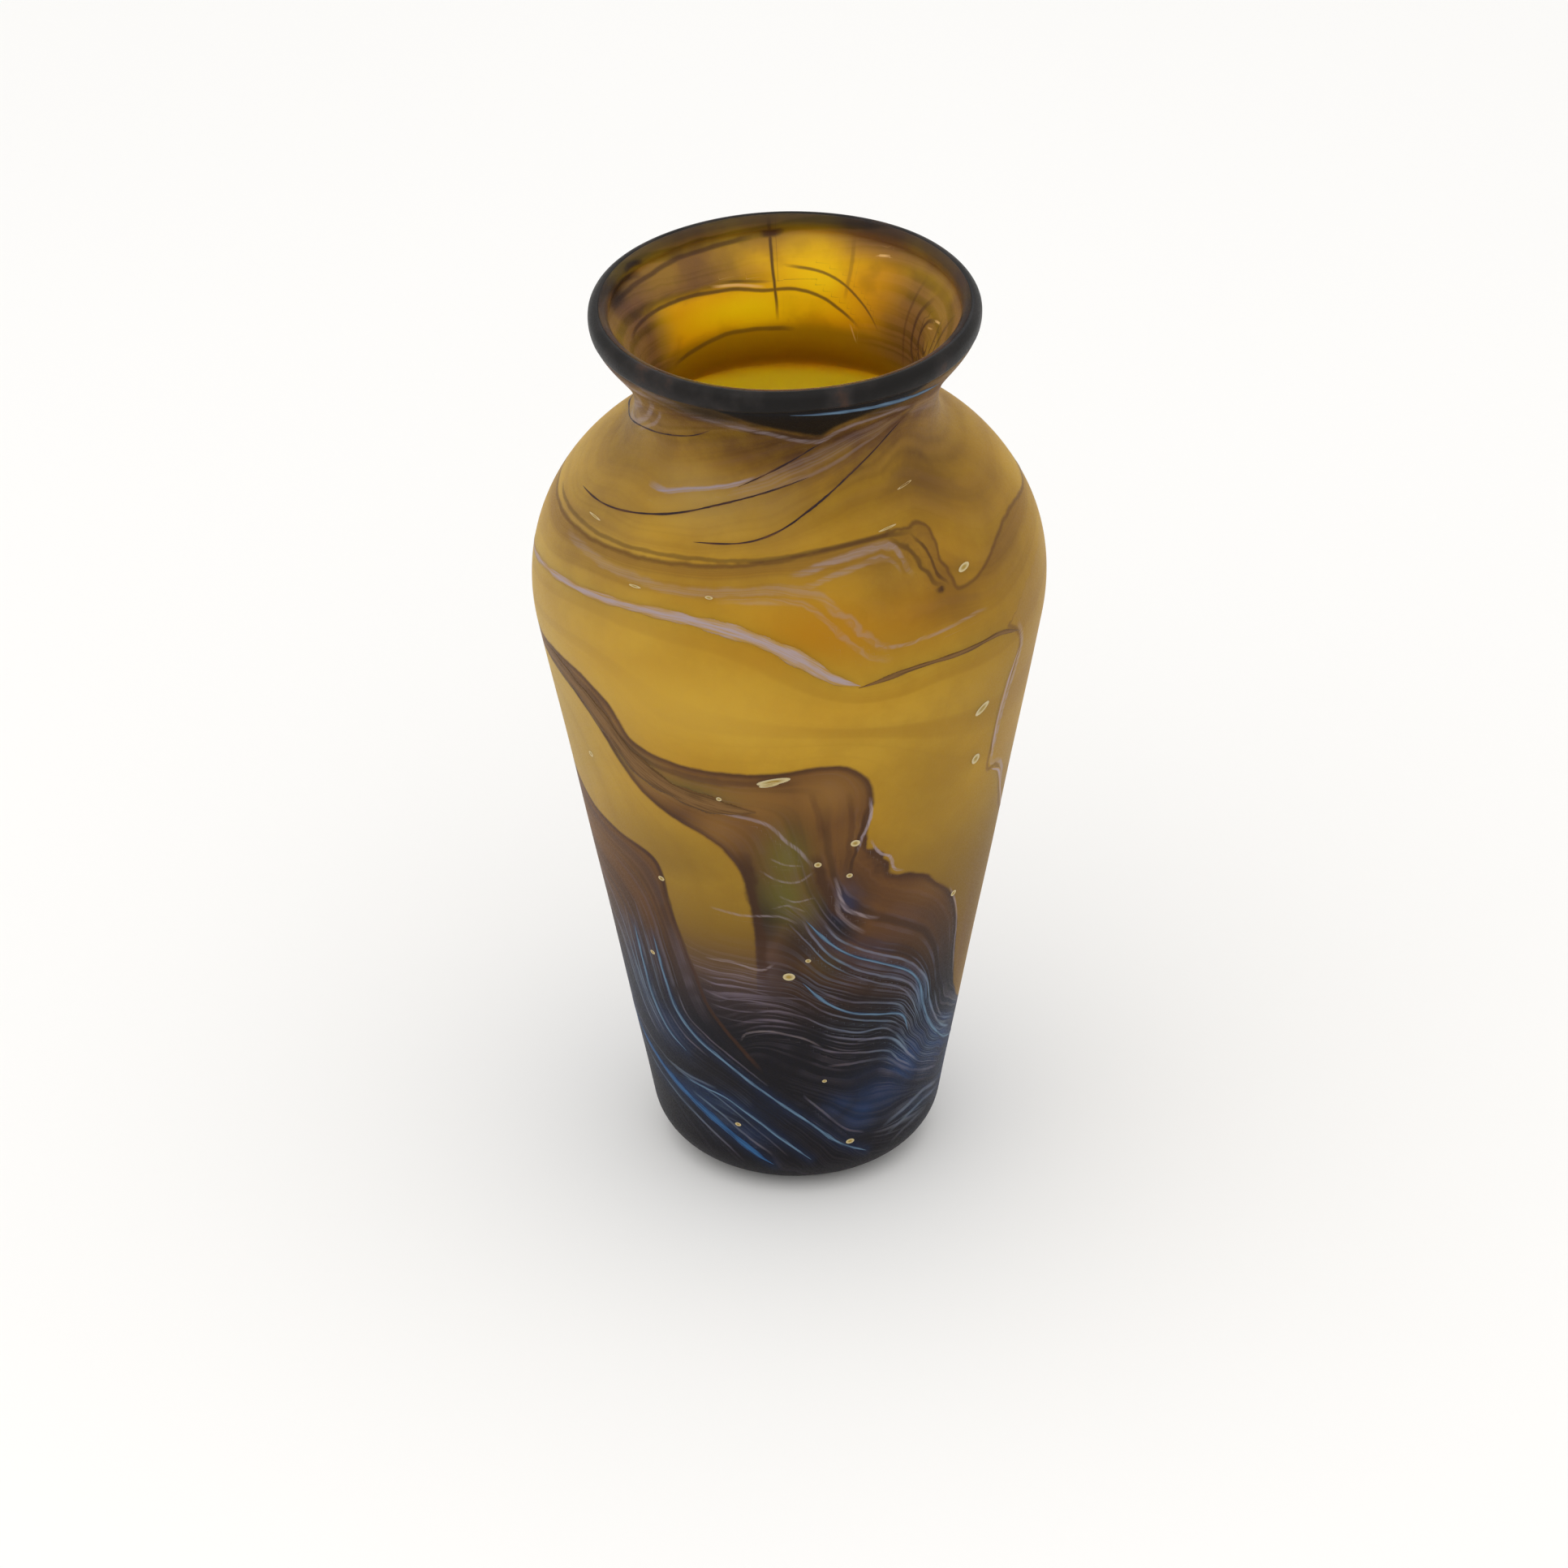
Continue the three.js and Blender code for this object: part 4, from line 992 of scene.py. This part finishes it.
def inside_fields(azimuth, height):
    """Every value that the inside's colours read: brown veils hang from the rim and down both sides."""
    turned = azimuth % 360
    rim = smoothstep(226.8, 229.2, height)
    fold = 214.0 + 0.05 * (turned - 185)      # height of the long arc at the left
    left = smoothstep(168, 214, turned) * smoothstep(330, 280, turned)
    left = left * smoothstep(-0.5, 3.0, height - fold)
    side = np.maximum(smoothstep(226, 252, turned), 0.85 * smoothstep(162, 116, turned))
    side = side * (1 - 0.15 * smoothstep(290, 350, turned))
    top = smoothstep(217, 227, height)
    brown = np.maximum.reduce([top, left, side * smoothstep(196, 206, height)])
    brown = brown * (1 - clouds(INNER_GAP, azimuth, height))
    brown = np.maximum(brown, clouds(INNER_VEILS, azimuth, height))
    # Painted shade in the throat.
    throat_shade = 0.95 * smoothstep(208.5, 204.5, height) * smoothstep(186, 197, height)
    values = {
        "flow": height * 0.9 + 3 * np.sin(np.radians(azimuth * 2 + 40)),
        "veil": np.maximum(0.97 * brown, rim),
        "smoke_and_shade": np.maximum(clouds(INNER_SHADE, azimuth, height), throat_shade),
        # Painted glow, paler and brighter towards the bottom.
        "gold": smoothstep(194, 182, height),
        # Painted glow in soft lit patches.
        "bright": clouds(INNER_LIT_GLOW, azimuth, height),
        "ink_and_lip_shade": np.maximum(0.7 * rim, clouds(INNER_LIP_SHADE_INK, turned, height)),
    }
    values.update(threads("arc", ARC_LAYERS, turned, height))
    values.update(threads("glint", GLINT_LAYERS, turned, height))
    return values


# ======== Pieces ========

def blown_body():
    """The whole blown vessel as one closed skin: underside, outside, lip, inside and floor."""
    underside = np.array([(RECESS_FLAT_R, RECESS_DEPTH), (RECESS_R, 0), (STANDING_R, 0)])
    under_centre, floor_centre = (4.5, RECESS_DEPTH), (8, FLOOR)       # the rings nearest the axis
    sunk = 0.35      # how far the skin sinks under the lip wrap
    lip_outside_rows = 4       # rows over the lip that still take the outside's colours
    lip = arc(BEAD_R, BEAD_Z, BEAD_ROUND, LIP_OUTSIDE, LIP_INSIDE)
    over_lip = resample(lip, 0.7)
    low = resample(underside, 2.5)
    outer = resample(OUTSIDE, OUTSIDE_STEP)
    inner = INSIDE[::-1]
    seen = resample(inner[inner[:, 1] >= VISIBLE_INSIDE], INSIDE_STEP)
    unseen = resample(inner[inner[:, 1] < VISIBLE_INSIDE], HIDDEN_STEP)
    outside = [[under_centre], low[:-1], outer[:-1]]
    rings = np.concatenate(outside + [over_lip[:-1], seen, unseen, [floor_centre]])
    is_inner = np.zeros(len(rings), bool)
    is_inner[len(low) + len(outer) - 1 + lip_outside_rows:] = True

    outside_or_lip = ~is_inner | (rings[:, 0] > BEAD_R)
    wrapped = (np.arange(len(rings)) >= len(low)) & (rings[:, 1] > WRAP_LOW + 1) & outside_or_lip
    centre = np.array([BEAD_R - 3.0, BEAD_Z - 1.0])      # the skin sinks towards this point in the lip
    towards = centre - rings
    towards /= np.maximum(np.hypot(*towards.T), 1e-6)[:, None]
    rings = np.where(wrapped[:, None], rings + sunk * towards, rings)

    turn = columns()
    around = len(turn)
    azimuth = np.tile(turn, len(rings))
    radius = np.repeat(rings[:, 0], around)
    height = np.repeat(rings[:, 1], around)
    inner_flag = np.repeat(is_inner, around)
    points = place(radius, azimuth, height)

    azimuth = wrap_degrees(azimuth)
    fields = {}
    outer_values = outside_fields(azimuth[~inner_flag], height[~inner_flag])
    inner_values = inside_fields(azimuth[inner_flag], height[inner_flag])
    for key in sorted(outer_values.keys() | inner_values.keys()):
        values = np.zeros(len(points) + 2)
        values[:-2][~inner_flag] = outer_values.get(key, 0)
        values[:-2][inner_flag] = inner_values.get(key, 0)
        fields[key] = values
    fields["inner"] = np.concatenate([inner_flag.astype(float), [0, 1]])

    faces = ring_faces(len(rings), around)
    bottom, top = len(points), len(points) + 1
    last = (len(rings) - 1) * around
    for k in range(around):
        n = (k + 1) % around
        faces.append((bottom, n, k))
        faces.append((top, last + k, last + n))
    poles = [(0, 0, RECESS_DEPTH * MM), (0, 0, FLOOR * MM)]
    return make_object("blown_body", np.concatenate([points, poles]), faces, body_material(), fields)


def lip_wrap():
    """The dark glass drawn over the lip, with an uneven lower edge."""
    steps = 30
    proud, buried, thickness = 0.12, 0.12, 1.1
    edge_sharpness = 8      # the skin comes up out of the glass over one part in this many of its width
    stripes_round = 9.0     # how far the material's streaks run on over the lip
    turn = columns()
    around = len(turn)
    rows = []
    bead_top = arc(BEAD_R, BEAD_Z, BEAD_ROUND, LIP_OUTSIDE, LIP_JOINT + 8)
    flare = OUTSIDE[OUTSIDE[:, 1] > WRAP_LOW - 3]
    skin = resample(np.concatenate([flare[:-1], bead_top]), 0.4)
    low_edge = WRAP_LOW + 0.5 * np.sin(np.radians(turn * 2 + 30)) + 0.3 * np.sin(np.radians(turn * 5))
    low_edge = low_edge + 0.4 * np.exp(-(wrap_degrees(turn + 20) / 50) ** 2)
    length = np.concatenate([[0], np.cumsum(np.hypot(*np.diff(skin, axis=0).T))])
    start = np.interp(low_edge, skin[:, 1][:len(flare)], length[:len(flare)])
    points, mark = [], []
    for k in range(steps + 1):
        share = k / steps
        along = start + (length[-1] - start) * share
        r = np.interp(along, length, skin[:, 0])
        z = np.interp(along, length, skin[:, 1])
        nr = np.interp(along + 0.3, length, skin[:, 1]) - np.interp(along - 0.3, length, skin[:, 1])
        nz = np.interp(along - 0.3, length, skin[:, 0]) - np.interp(along + 0.3, length, skin[:, 0])
        size = np.maximum(np.hypot(nr, nz), 1e-6)
        edge = min(share, 1 - share) * edge_sharpness
        lift = proud * min(1.0, edge) - buried * max(0.0, 1 - edge)
        rows.append((r + nr / size * lift, z + nz / size * lift))
        mark.append(share)
    inward = []
    for k in (steps * 5 // 6, steps // 2, steps // 6):
        r, z = rows[k]
        inward.append((r - thickness * 0.8, z - thickness * 0.5))
        mark.append(0.5)
    for r, z in rows + inward:
        points.append(place(r, turn, z))
    faces = ring_faces(len(points), around, closed_rows=True)
    fields = {"round": np.concatenate([np.full(around, m * stripes_round) for m in mark])}
    return make_object("lip_wrap_skin", np.concatenate(points), faces, lip_material(), fields)


# Each trail's look, and its route of (azimuth, height, half width).
TRAILS = {
    "neck_blue_trail": ("slate", [(1, 224.5, 0.4), (14, 224, 0.7), (28, 223.3, 1.1), (42, 222.4, 1.2),
        (55, 221.2, 0.5)]),
    "neck_thread": ("ink", [(-138, 189.5, 0.4), (-112, 194.5, 0.4), (-88, 199.5, 0.4), (-70, 203.5, 0.4),
        (-50, 207.5, 0.4), (-36, 211, 0.4), (-27, 215, 0.4)]),
    "shoulder_thread_high": ("ink", [(-19, 199.5, 0.4), (-9, 203, 0.4), (1, 207, 0.5), (13, 212.5, 0.6)]),
    "shoulder_thread_mid": ("ink", [(-77, 187.5, 0.4), (-60, 189, 0.4), (-42, 192, 0.5), (-24, 195.8, 0.5),
        (-6, 199.5, 0.4), (8, 202.5, 0.4)]),
    "shoulder_thread_low": ("ink", [(-28, 189.5, 0.4), (-10, 191.2, 0.4), (8, 196, 0.5), (22, 201, 0.5),
        (36, 207, 0.5), (48, 214.5, 0.4)]),
    "lilac_ribbon": ("lilac", [(-170, 149, 0.5), (-145, 154, 0.6), (-115, 160.5, 0.6), (-88, 166, 0.6),
        (-72, 169.5, 0.6), (-52, 172.8, 0.8), (-32, 175, 1.0), (-18, 174.8, 1.3), (-7, 172.6, 1.4),
        (2, 168.4, 1.5), (9, 163.4, 1.3), (15, 160.8, 0.7)]),
    "seam_thread": ("brown", [(14.6, 160.3, 0.6), (28, 162.2, 0.5), (42, 161.5, 0.5), (53, 160.8, 0.5),
        (61, 157.5, 0.5)]),
    "seam_fall": ("lilac", [(62, 152, 0.5), (59.5, 144, 0.6), (58, 134, 0.6), (58, 124, 0.7)]),
    "seam_tail": ("lilac", [(60, 118, 0.6), (66, 114, 0.6), (72, 105, 0.5), (82, 95, 0.5), (98, 88, 0.5),
        (122, 84, 0.4)]),
    "waist_band": ("brown", [(-76, 148.2, 1.2), (-66, 147.6, 2.0), (-56, 144.8, 2.6), (-48, 138.8, 2.8),
        (-41, 132.2, 2.8), (-31, 127.4, 2.6), (-19, 125.2, 2.2), (-9, 124.6, 1.4)]),
    "foot_trail_1": ("blue", [(-120, 50, 0.5), (-94, 43, 0.6), (-74, 36.4, 0.8), (-58, 30.4, 1.5),
        (-44, 25.2, 1.6), (-30, 19.4, 1.5), (-18, 13.2, 1.2), (-10, 9.4, 0.7)]),
    "foot_trail_2": ("slate", [(-44, 31.2, 0.4), (-28, 29.8, 0.5), (-17, 25, 0.6), (-7, 19, 0.6),
        (5, 11.4, 0.5)]),
    "foot_trail_3": ("slate", [(-46, 76, 0.5), (-44.6, 64, 0.7), (-42, 54.4, 0.8), (-36, 48, 0.8),
        (-26, 42.4, 0.7), (-15, 35.8, 0.6), (-4, 29.2, 0.6), (6, 22.8, 0.6), (16, 16, 0.6), (28, 11, 0.4)]),
    "foot_trail_4": ("slate", [(-55, 76, 0.5), (-54.5, 64, 0.8), (-53.5, 54, 0.9), (-49, 46, 0.8),
        (-41, 41, 0.6)]),
    "pale_trail_1": ("slate", [(3, 90.5, 0.5), (8, 84.5, 0.6), (15, 78.5, 0.5), (26, 73, 0.5),
        (36, 67.5, 0.5), (42, 61, 0.6), (46, 52, 0.7), (52, 44, 0.7), (60, 37.5, 0.6), (70, 32.5, 0.5),
        (88, 27.5, 0.5), (112, 24, 0.4)]),
    "pale_trail_2": ("slate", [(2, 70.5, 0.5), (8, 64.5, 0.6), (16, 59.5, 0.5), (26, 56.5, 0.5),
        (36, 53.5, 0.5), (40, 47, 0.6)]),
    "back_ribbon": ("lilac", [(98, 178, 0.5), (118, 174, 0.8), (140, 166, 1.1), (158, 161.5, 1.1),
        (176, 163.5, 0.7), (194, 169, 0.5)]),
    "back_band": ("brown", [(112, 126, 1.0), (132, 117, 2.0), (152, 114, 2.4), (172, 119, 2.4),
        (190, 129, 2.0), (206, 138, 1.0)]),
    "back_blue_trail": ("blue", [(120, 68, 0.5), (138, 59, 0.8), (160, 52.5, 0.9), (184, 47.5, 0.9),
        (206, 41, 0.6)]),
}
TRAIL_STEP = 0.9              # millimetres between sections
TRAIL_PROUD = 0.06
TRAIL_SUNK = 0.5
TRAIL_TAPER = 7               # sections that an end narrows over


def trail(name, look, route):
    """A lens-shaped ribbon of glass that lies in the wall, with its edges level with the surface."""
    line = resample(catmull(route, 14) * [DEGREE, 1, 1], TRAIL_STEP) / [DEGREE, 1, 1]
    azimuth, height, half = line.T
    count = len(line)
    across_profile = np.array([-1.0, -0.75, -0.4, 0.0, 0.4, 0.75, 1.0])
    crown = np.array([-0.10, 0.2, 0.75, 1.0, 0.75, 0.2, -0.10]) * TRAIL_PROUD
    under = [(0.6, -TRAIL_SUNK), (-0.6, -TRAIL_SUNK)]
    radius, lean = radius_at(height), lean_at(height)
    stretch = 1 / np.cos(lean)
    run_a = np.gradient(np.radians(azimuth)) * radius
    run_h = np.gradient(height) * stretch
    pace = np.hypot(run_a, run_h)
    run_a, run_h = run_a / pace, run_h / pace
    taper = np.minimum(1, np.minimum(np.arange(count), np.arange(count)[::-1]) / TRAIL_TAPER + 0.12)
    wander = 1 + 0.16 * np.sin(np.arange(count) * 0.37 + len(name)) + 0.08 * np.sin(np.arange(count) * 0.91)
    width = half * taper * wander * TRAIL_LOOKS[look][2]
    sections = []
    for side_share, lift in list(zip(across_profile, crown)) + under:
        offset = side_share * width
        a = azimuth + np.degrees(-run_h * offset / radius)
        h = height + run_a * offset / stretch
        tilt = lean_at(h)
        reach = radius_at(h) + lift * taper * np.cos(tilt)
        sections.append(place(reach, a, h - lift * taper * np.sin(tilt)))
    per = len(sections)
    points = np.stack(sections, 1).reshape(-1, 3)
    along = np.repeat(np.arange(count) * TRAIL_STEP + len(name) * 10.0, per)
    across = (width[:, None] * np.concatenate([across_profile, [0, 0]])).reshape(-1)
    faces = []
    for i in range(count - 1):
        for k in range(per):
            n = (k + 1) % per
            a, b = i * per, (i + 1) * per
            faces.append((a + k, b + k, b + n, a + n))
    faces.append(tuple(range(per)))
    faces.append(tuple((count - 1) * per + k for k in range(per))[::-1])
    middle = np.tile(np.concatenate([1 - np.abs(across_profile), [0, 0]]), count)
    fields = {"middle": middle, "along": along, "across": across}
    return make_object(name + "_glass", points, faces, TRAIL_LOOKS[look][0], fields)


def pontil_scar():
    """The rough, snapped-off button of glass under the base."""
    rows, around = 9, 48
    sunk = 0.3
    turn = np.linspace(0, 2 * np.pi, around, endpoint=False)
    points = []
    for i in range(1, rows):
        share = i / (rows - 1)
        rough = 0.35 * np.sin(5 * turn + 3 * share) + 0.2 * np.sin(11 * turn + 7 * share)
        r = (SCAR_R + rough) * math.sin(share * math.pi / 2) ** 0.6
        hang = (SCAR_THICKNESS + 0.15 * np.sin(3 * turn + 9 * share)) * math.cos(share * math.pi / 2)
        level = RECESS_DEPTH + 0.2 - hang
        points.append(np.stack([r * np.cos(turn), r * np.sin(turn), level], 1))
    points = np.concatenate(points + [points[-1] + [0, 0, sunk]])
    faces = ring_faces(rows, around)
    faces.append(tuple(range(around))[::-1])
    faces.append(tuple((rows - 1) * around + k for k in range(around)))
    return make_object("pontil_scar_glass", points * MM, faces, scar_material())


# Seeds: bubbles that the etched surface has opened, as (azimuth, height, length, width, slope in degrees).
SEEDS = [
    (-4.5, 134.4, 4.2, 0.9, 14), (-5.5, 133.4, 2.6, 0.6, 16), (49.5, 141.4, 2.6, 1.2, 22),
    (50.5, 126, 1.5, 1.4, 0), (15.5, 113.5, 1.2, 1.0, 0), (6, 108.2, 0.9, 0.8, 0),
    (14.4, 103.6, 0.8, 0.7, 0), (51.5, 85, 1.0, 0.8, 0), (-38, 97, 0.9, 0.7, 0), (-48, 69.8, 0.8, 0.6, 0),
    (-2, 72.6, 1.5, 1.2, 0), (3.6, 77.6, 0.7, 0.6, 0), (20.4, 15.8, 1.1, 0.8, 0), (-23, 21.4, 0.8, 0.6, 0),
    (47, 179.4, 2.0, 0.8, 10), (-40, 178.6, 1.8, 0.3, 4), (-20, 180.4, 1.0, 0.4, 0),
    (-58, 125.4, 0.9, 0.8, 0), (30, 191, 2.6, 0.25, 6), (44, 195.8, 2.6, 0.25, 6), (-63, 186, 2.6, 0.25, 3),
    (-17.8, 127.6, 0.7, 0.6, 0), (9.4, 37.6, 0.6, 0.5, 0), (150, 140, 2.2, 1.0, 15), (172, 96, 1.4, 1.0, 0),
    (-150, 168, 2.0, 0.6, 8), (-120, 100, 1.2, 0.9, 0), (120, 150, 1.5, 1.0, 0),
]


def seeds():
    """Shallow, rimmed lenses, each a closed blister."""
    # Each ring's share of the size, and its lift off the wall.
    profile = [(1.0, -0.25), (0.97, 0.03), (0.88, 0.05), (0.74, 0.01), (0.3, 0.01)]
    rows, around = len(profile), 20
    turn = np.linspace(0, 2 * np.pi, around, endpoint=False)
    points, faces, middle = [], [], []
    for azimuth, height, long, wide, slope in SEEDS:
        tilt = math.radians(slope)
        first = sum(len(p) for p in points)
        for size, lift in profile:
            u, v = long * size * np.cos(turn), wide * size * np.sin(turn)
            along = u * math.cos(tilt) - v * math.sin(tilt)
            up = u * math.sin(tilt) + v * math.cos(tilt)
            h = height + up * math.cos(lean_at(height))
            a = azimuth + np.degrees(along / radius_at(height))
            lean = lean_at(h)
            points.append(place(radius_at(h) + lift * np.cos(lean), a, h - lift * np.sin(lean)))
            middle.append(np.full(around, 1.0 if size < 0.7 else 0.0))
        for face in ring_faces(rows, around):
            faces.append(tuple(first + i for i in face))
        faces.append(tuple(first + k for k in range(around))[::-1])
        faces.append(tuple(first + (rows - 1) * around + k for k in range(around)))
    return make_object("surface_seeds", np.concatenate(points), faces, seed_material(),
                       {"middle": np.concatenate(middle)})


def settle(piece, slot, *nodes):
    """Ties a piece to the frame's one body and hides the solids that it stands for. The material slot is
    not used.
    """
    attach(piece, "root")
    if nodes:
        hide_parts(*nodes)


# Each look's material, slot and share of its route's width.
TRAIL_LOOKS = {
    "ink": (trail_material("ink_trail", "#2a2024", "#5a3c26", 0.3), "ink_glass", 0.6),
    "lilac": (trail_material("lilac_trail", "#9e8c8c", "#a07c3c", 0.6), "lilac_glass", 1.25),
    "brown": (trail_material("brown_trail", "#76552e", "#563c1c", 0.6), "brown_glass", 1.15),
    "blue": (trail_material("blue_trail", "#2f5a86", "#1b2c4a", 0.7), "blue_glass", 0.8),
    "slate": (trail_material("slate_trail", "#5a748a", "#283448", 0.7), "slate_glass", 0.8),
}

settle(blown_body(), "amber_glass", "vessel_wall")
settle(lip_wrap(), "ink_glass", "lip_wrap")
settle(pontil_scar(), "cloudy_glass", "pontil_scar")
settle(seeds(), "amber_glass")
for trail_name, (look, route) in TRAILS.items():
    settle(trail(trail_name, look, route), TRAIL_LOOKS[look][1], trail_name)


# ======== Floor, light and camera ========

def floor():
    half = 4.0      # metres
    corners = [(-half, -half, 0), (half, -half, 0), (half, half, 0), (-half, half, 0)]
    s = Shader("pale_floor")
    base = s.mix(s.noise(3.0, 2.0), (0.90, 0.895, 0.885, 1), (0.92, 0.915, 0.905, 1))
    s.join(base, s.surface.inputs["Base Color"])
    s.surface.inputs["Roughness"].default_value = 0.85
    s.surface.inputs["Specular IOR Level"].default_value = 0.1
    make_object("floor", corners, [(0, 1, 2, 3)], s.material, smooth=False)


def soft_light(name, power, size, where, aim=(0, 0, 0.1)):
    """A square lamp of a power in watts and a size in metres, turned towards a point."""
    light = bpy.data.lights.new(name, "AREA")
    light.energy = power
    light.size = size
    lamp = bpy.data.objects.new(name, light)
    bpy.context.scene.collection.objects.link(lamp)
    lamp.location = where
    away = np.array(where, float) - np.array(aim, float)
    level = math.hypot(away[0], away[1])
    lamp.rotation_euler = (math.atan2(level, away[2]), 0, math.atan2(away[1], away[0]) + math.pi / 2)


def surroundings():
    """Even white light from all round."""
    world = bpy.data.worlds.new("soft_room")
    world.use_nodes = True
    back = world.node_tree.nodes["Background"]
    back.inputs["Color"].default_value = (1.0, 0.995, 0.985, 1)
    back.inputs["Strength"].default_value = 1.0
    bpy.context.scene.world = world


def camera():
    """The view from above the front, with the slight roll of a hand-held camera."""
    distance, elevation, roll = 1.638, math.radians(32.33), math.radians(-0.876)
    target = np.array([-0.0021, 0, 0.0974])
    lens = bpy.data.cameras.new("camera")
    lens.lens = 155.9
    lens.sensor_width = 36
    lens.clip_end = 50
    eye = bpy.data.objects.new("camera", lens)
    bpy.context.scene.collection.objects.link(eye)
    eye.location = target + distance * np.array([0, -math.cos(elevation), math.sin(elevation)])
    eye.rotation_mode = "QUATERNION"
    level = Quaternion((1, 0, 0), math.pi / 2 - elevation)
    eye.rotation_quaternion = level @ Quaternion((0, 0, 1), roll)
    bpy.context.scene.camera = eye


floor()
surroundings()
soft_light("key", 2.4, 1.2, (-0.1, -0.3, 1.05))
camera()
bpy.context.scene.view_settings.view_transform = "Standard"
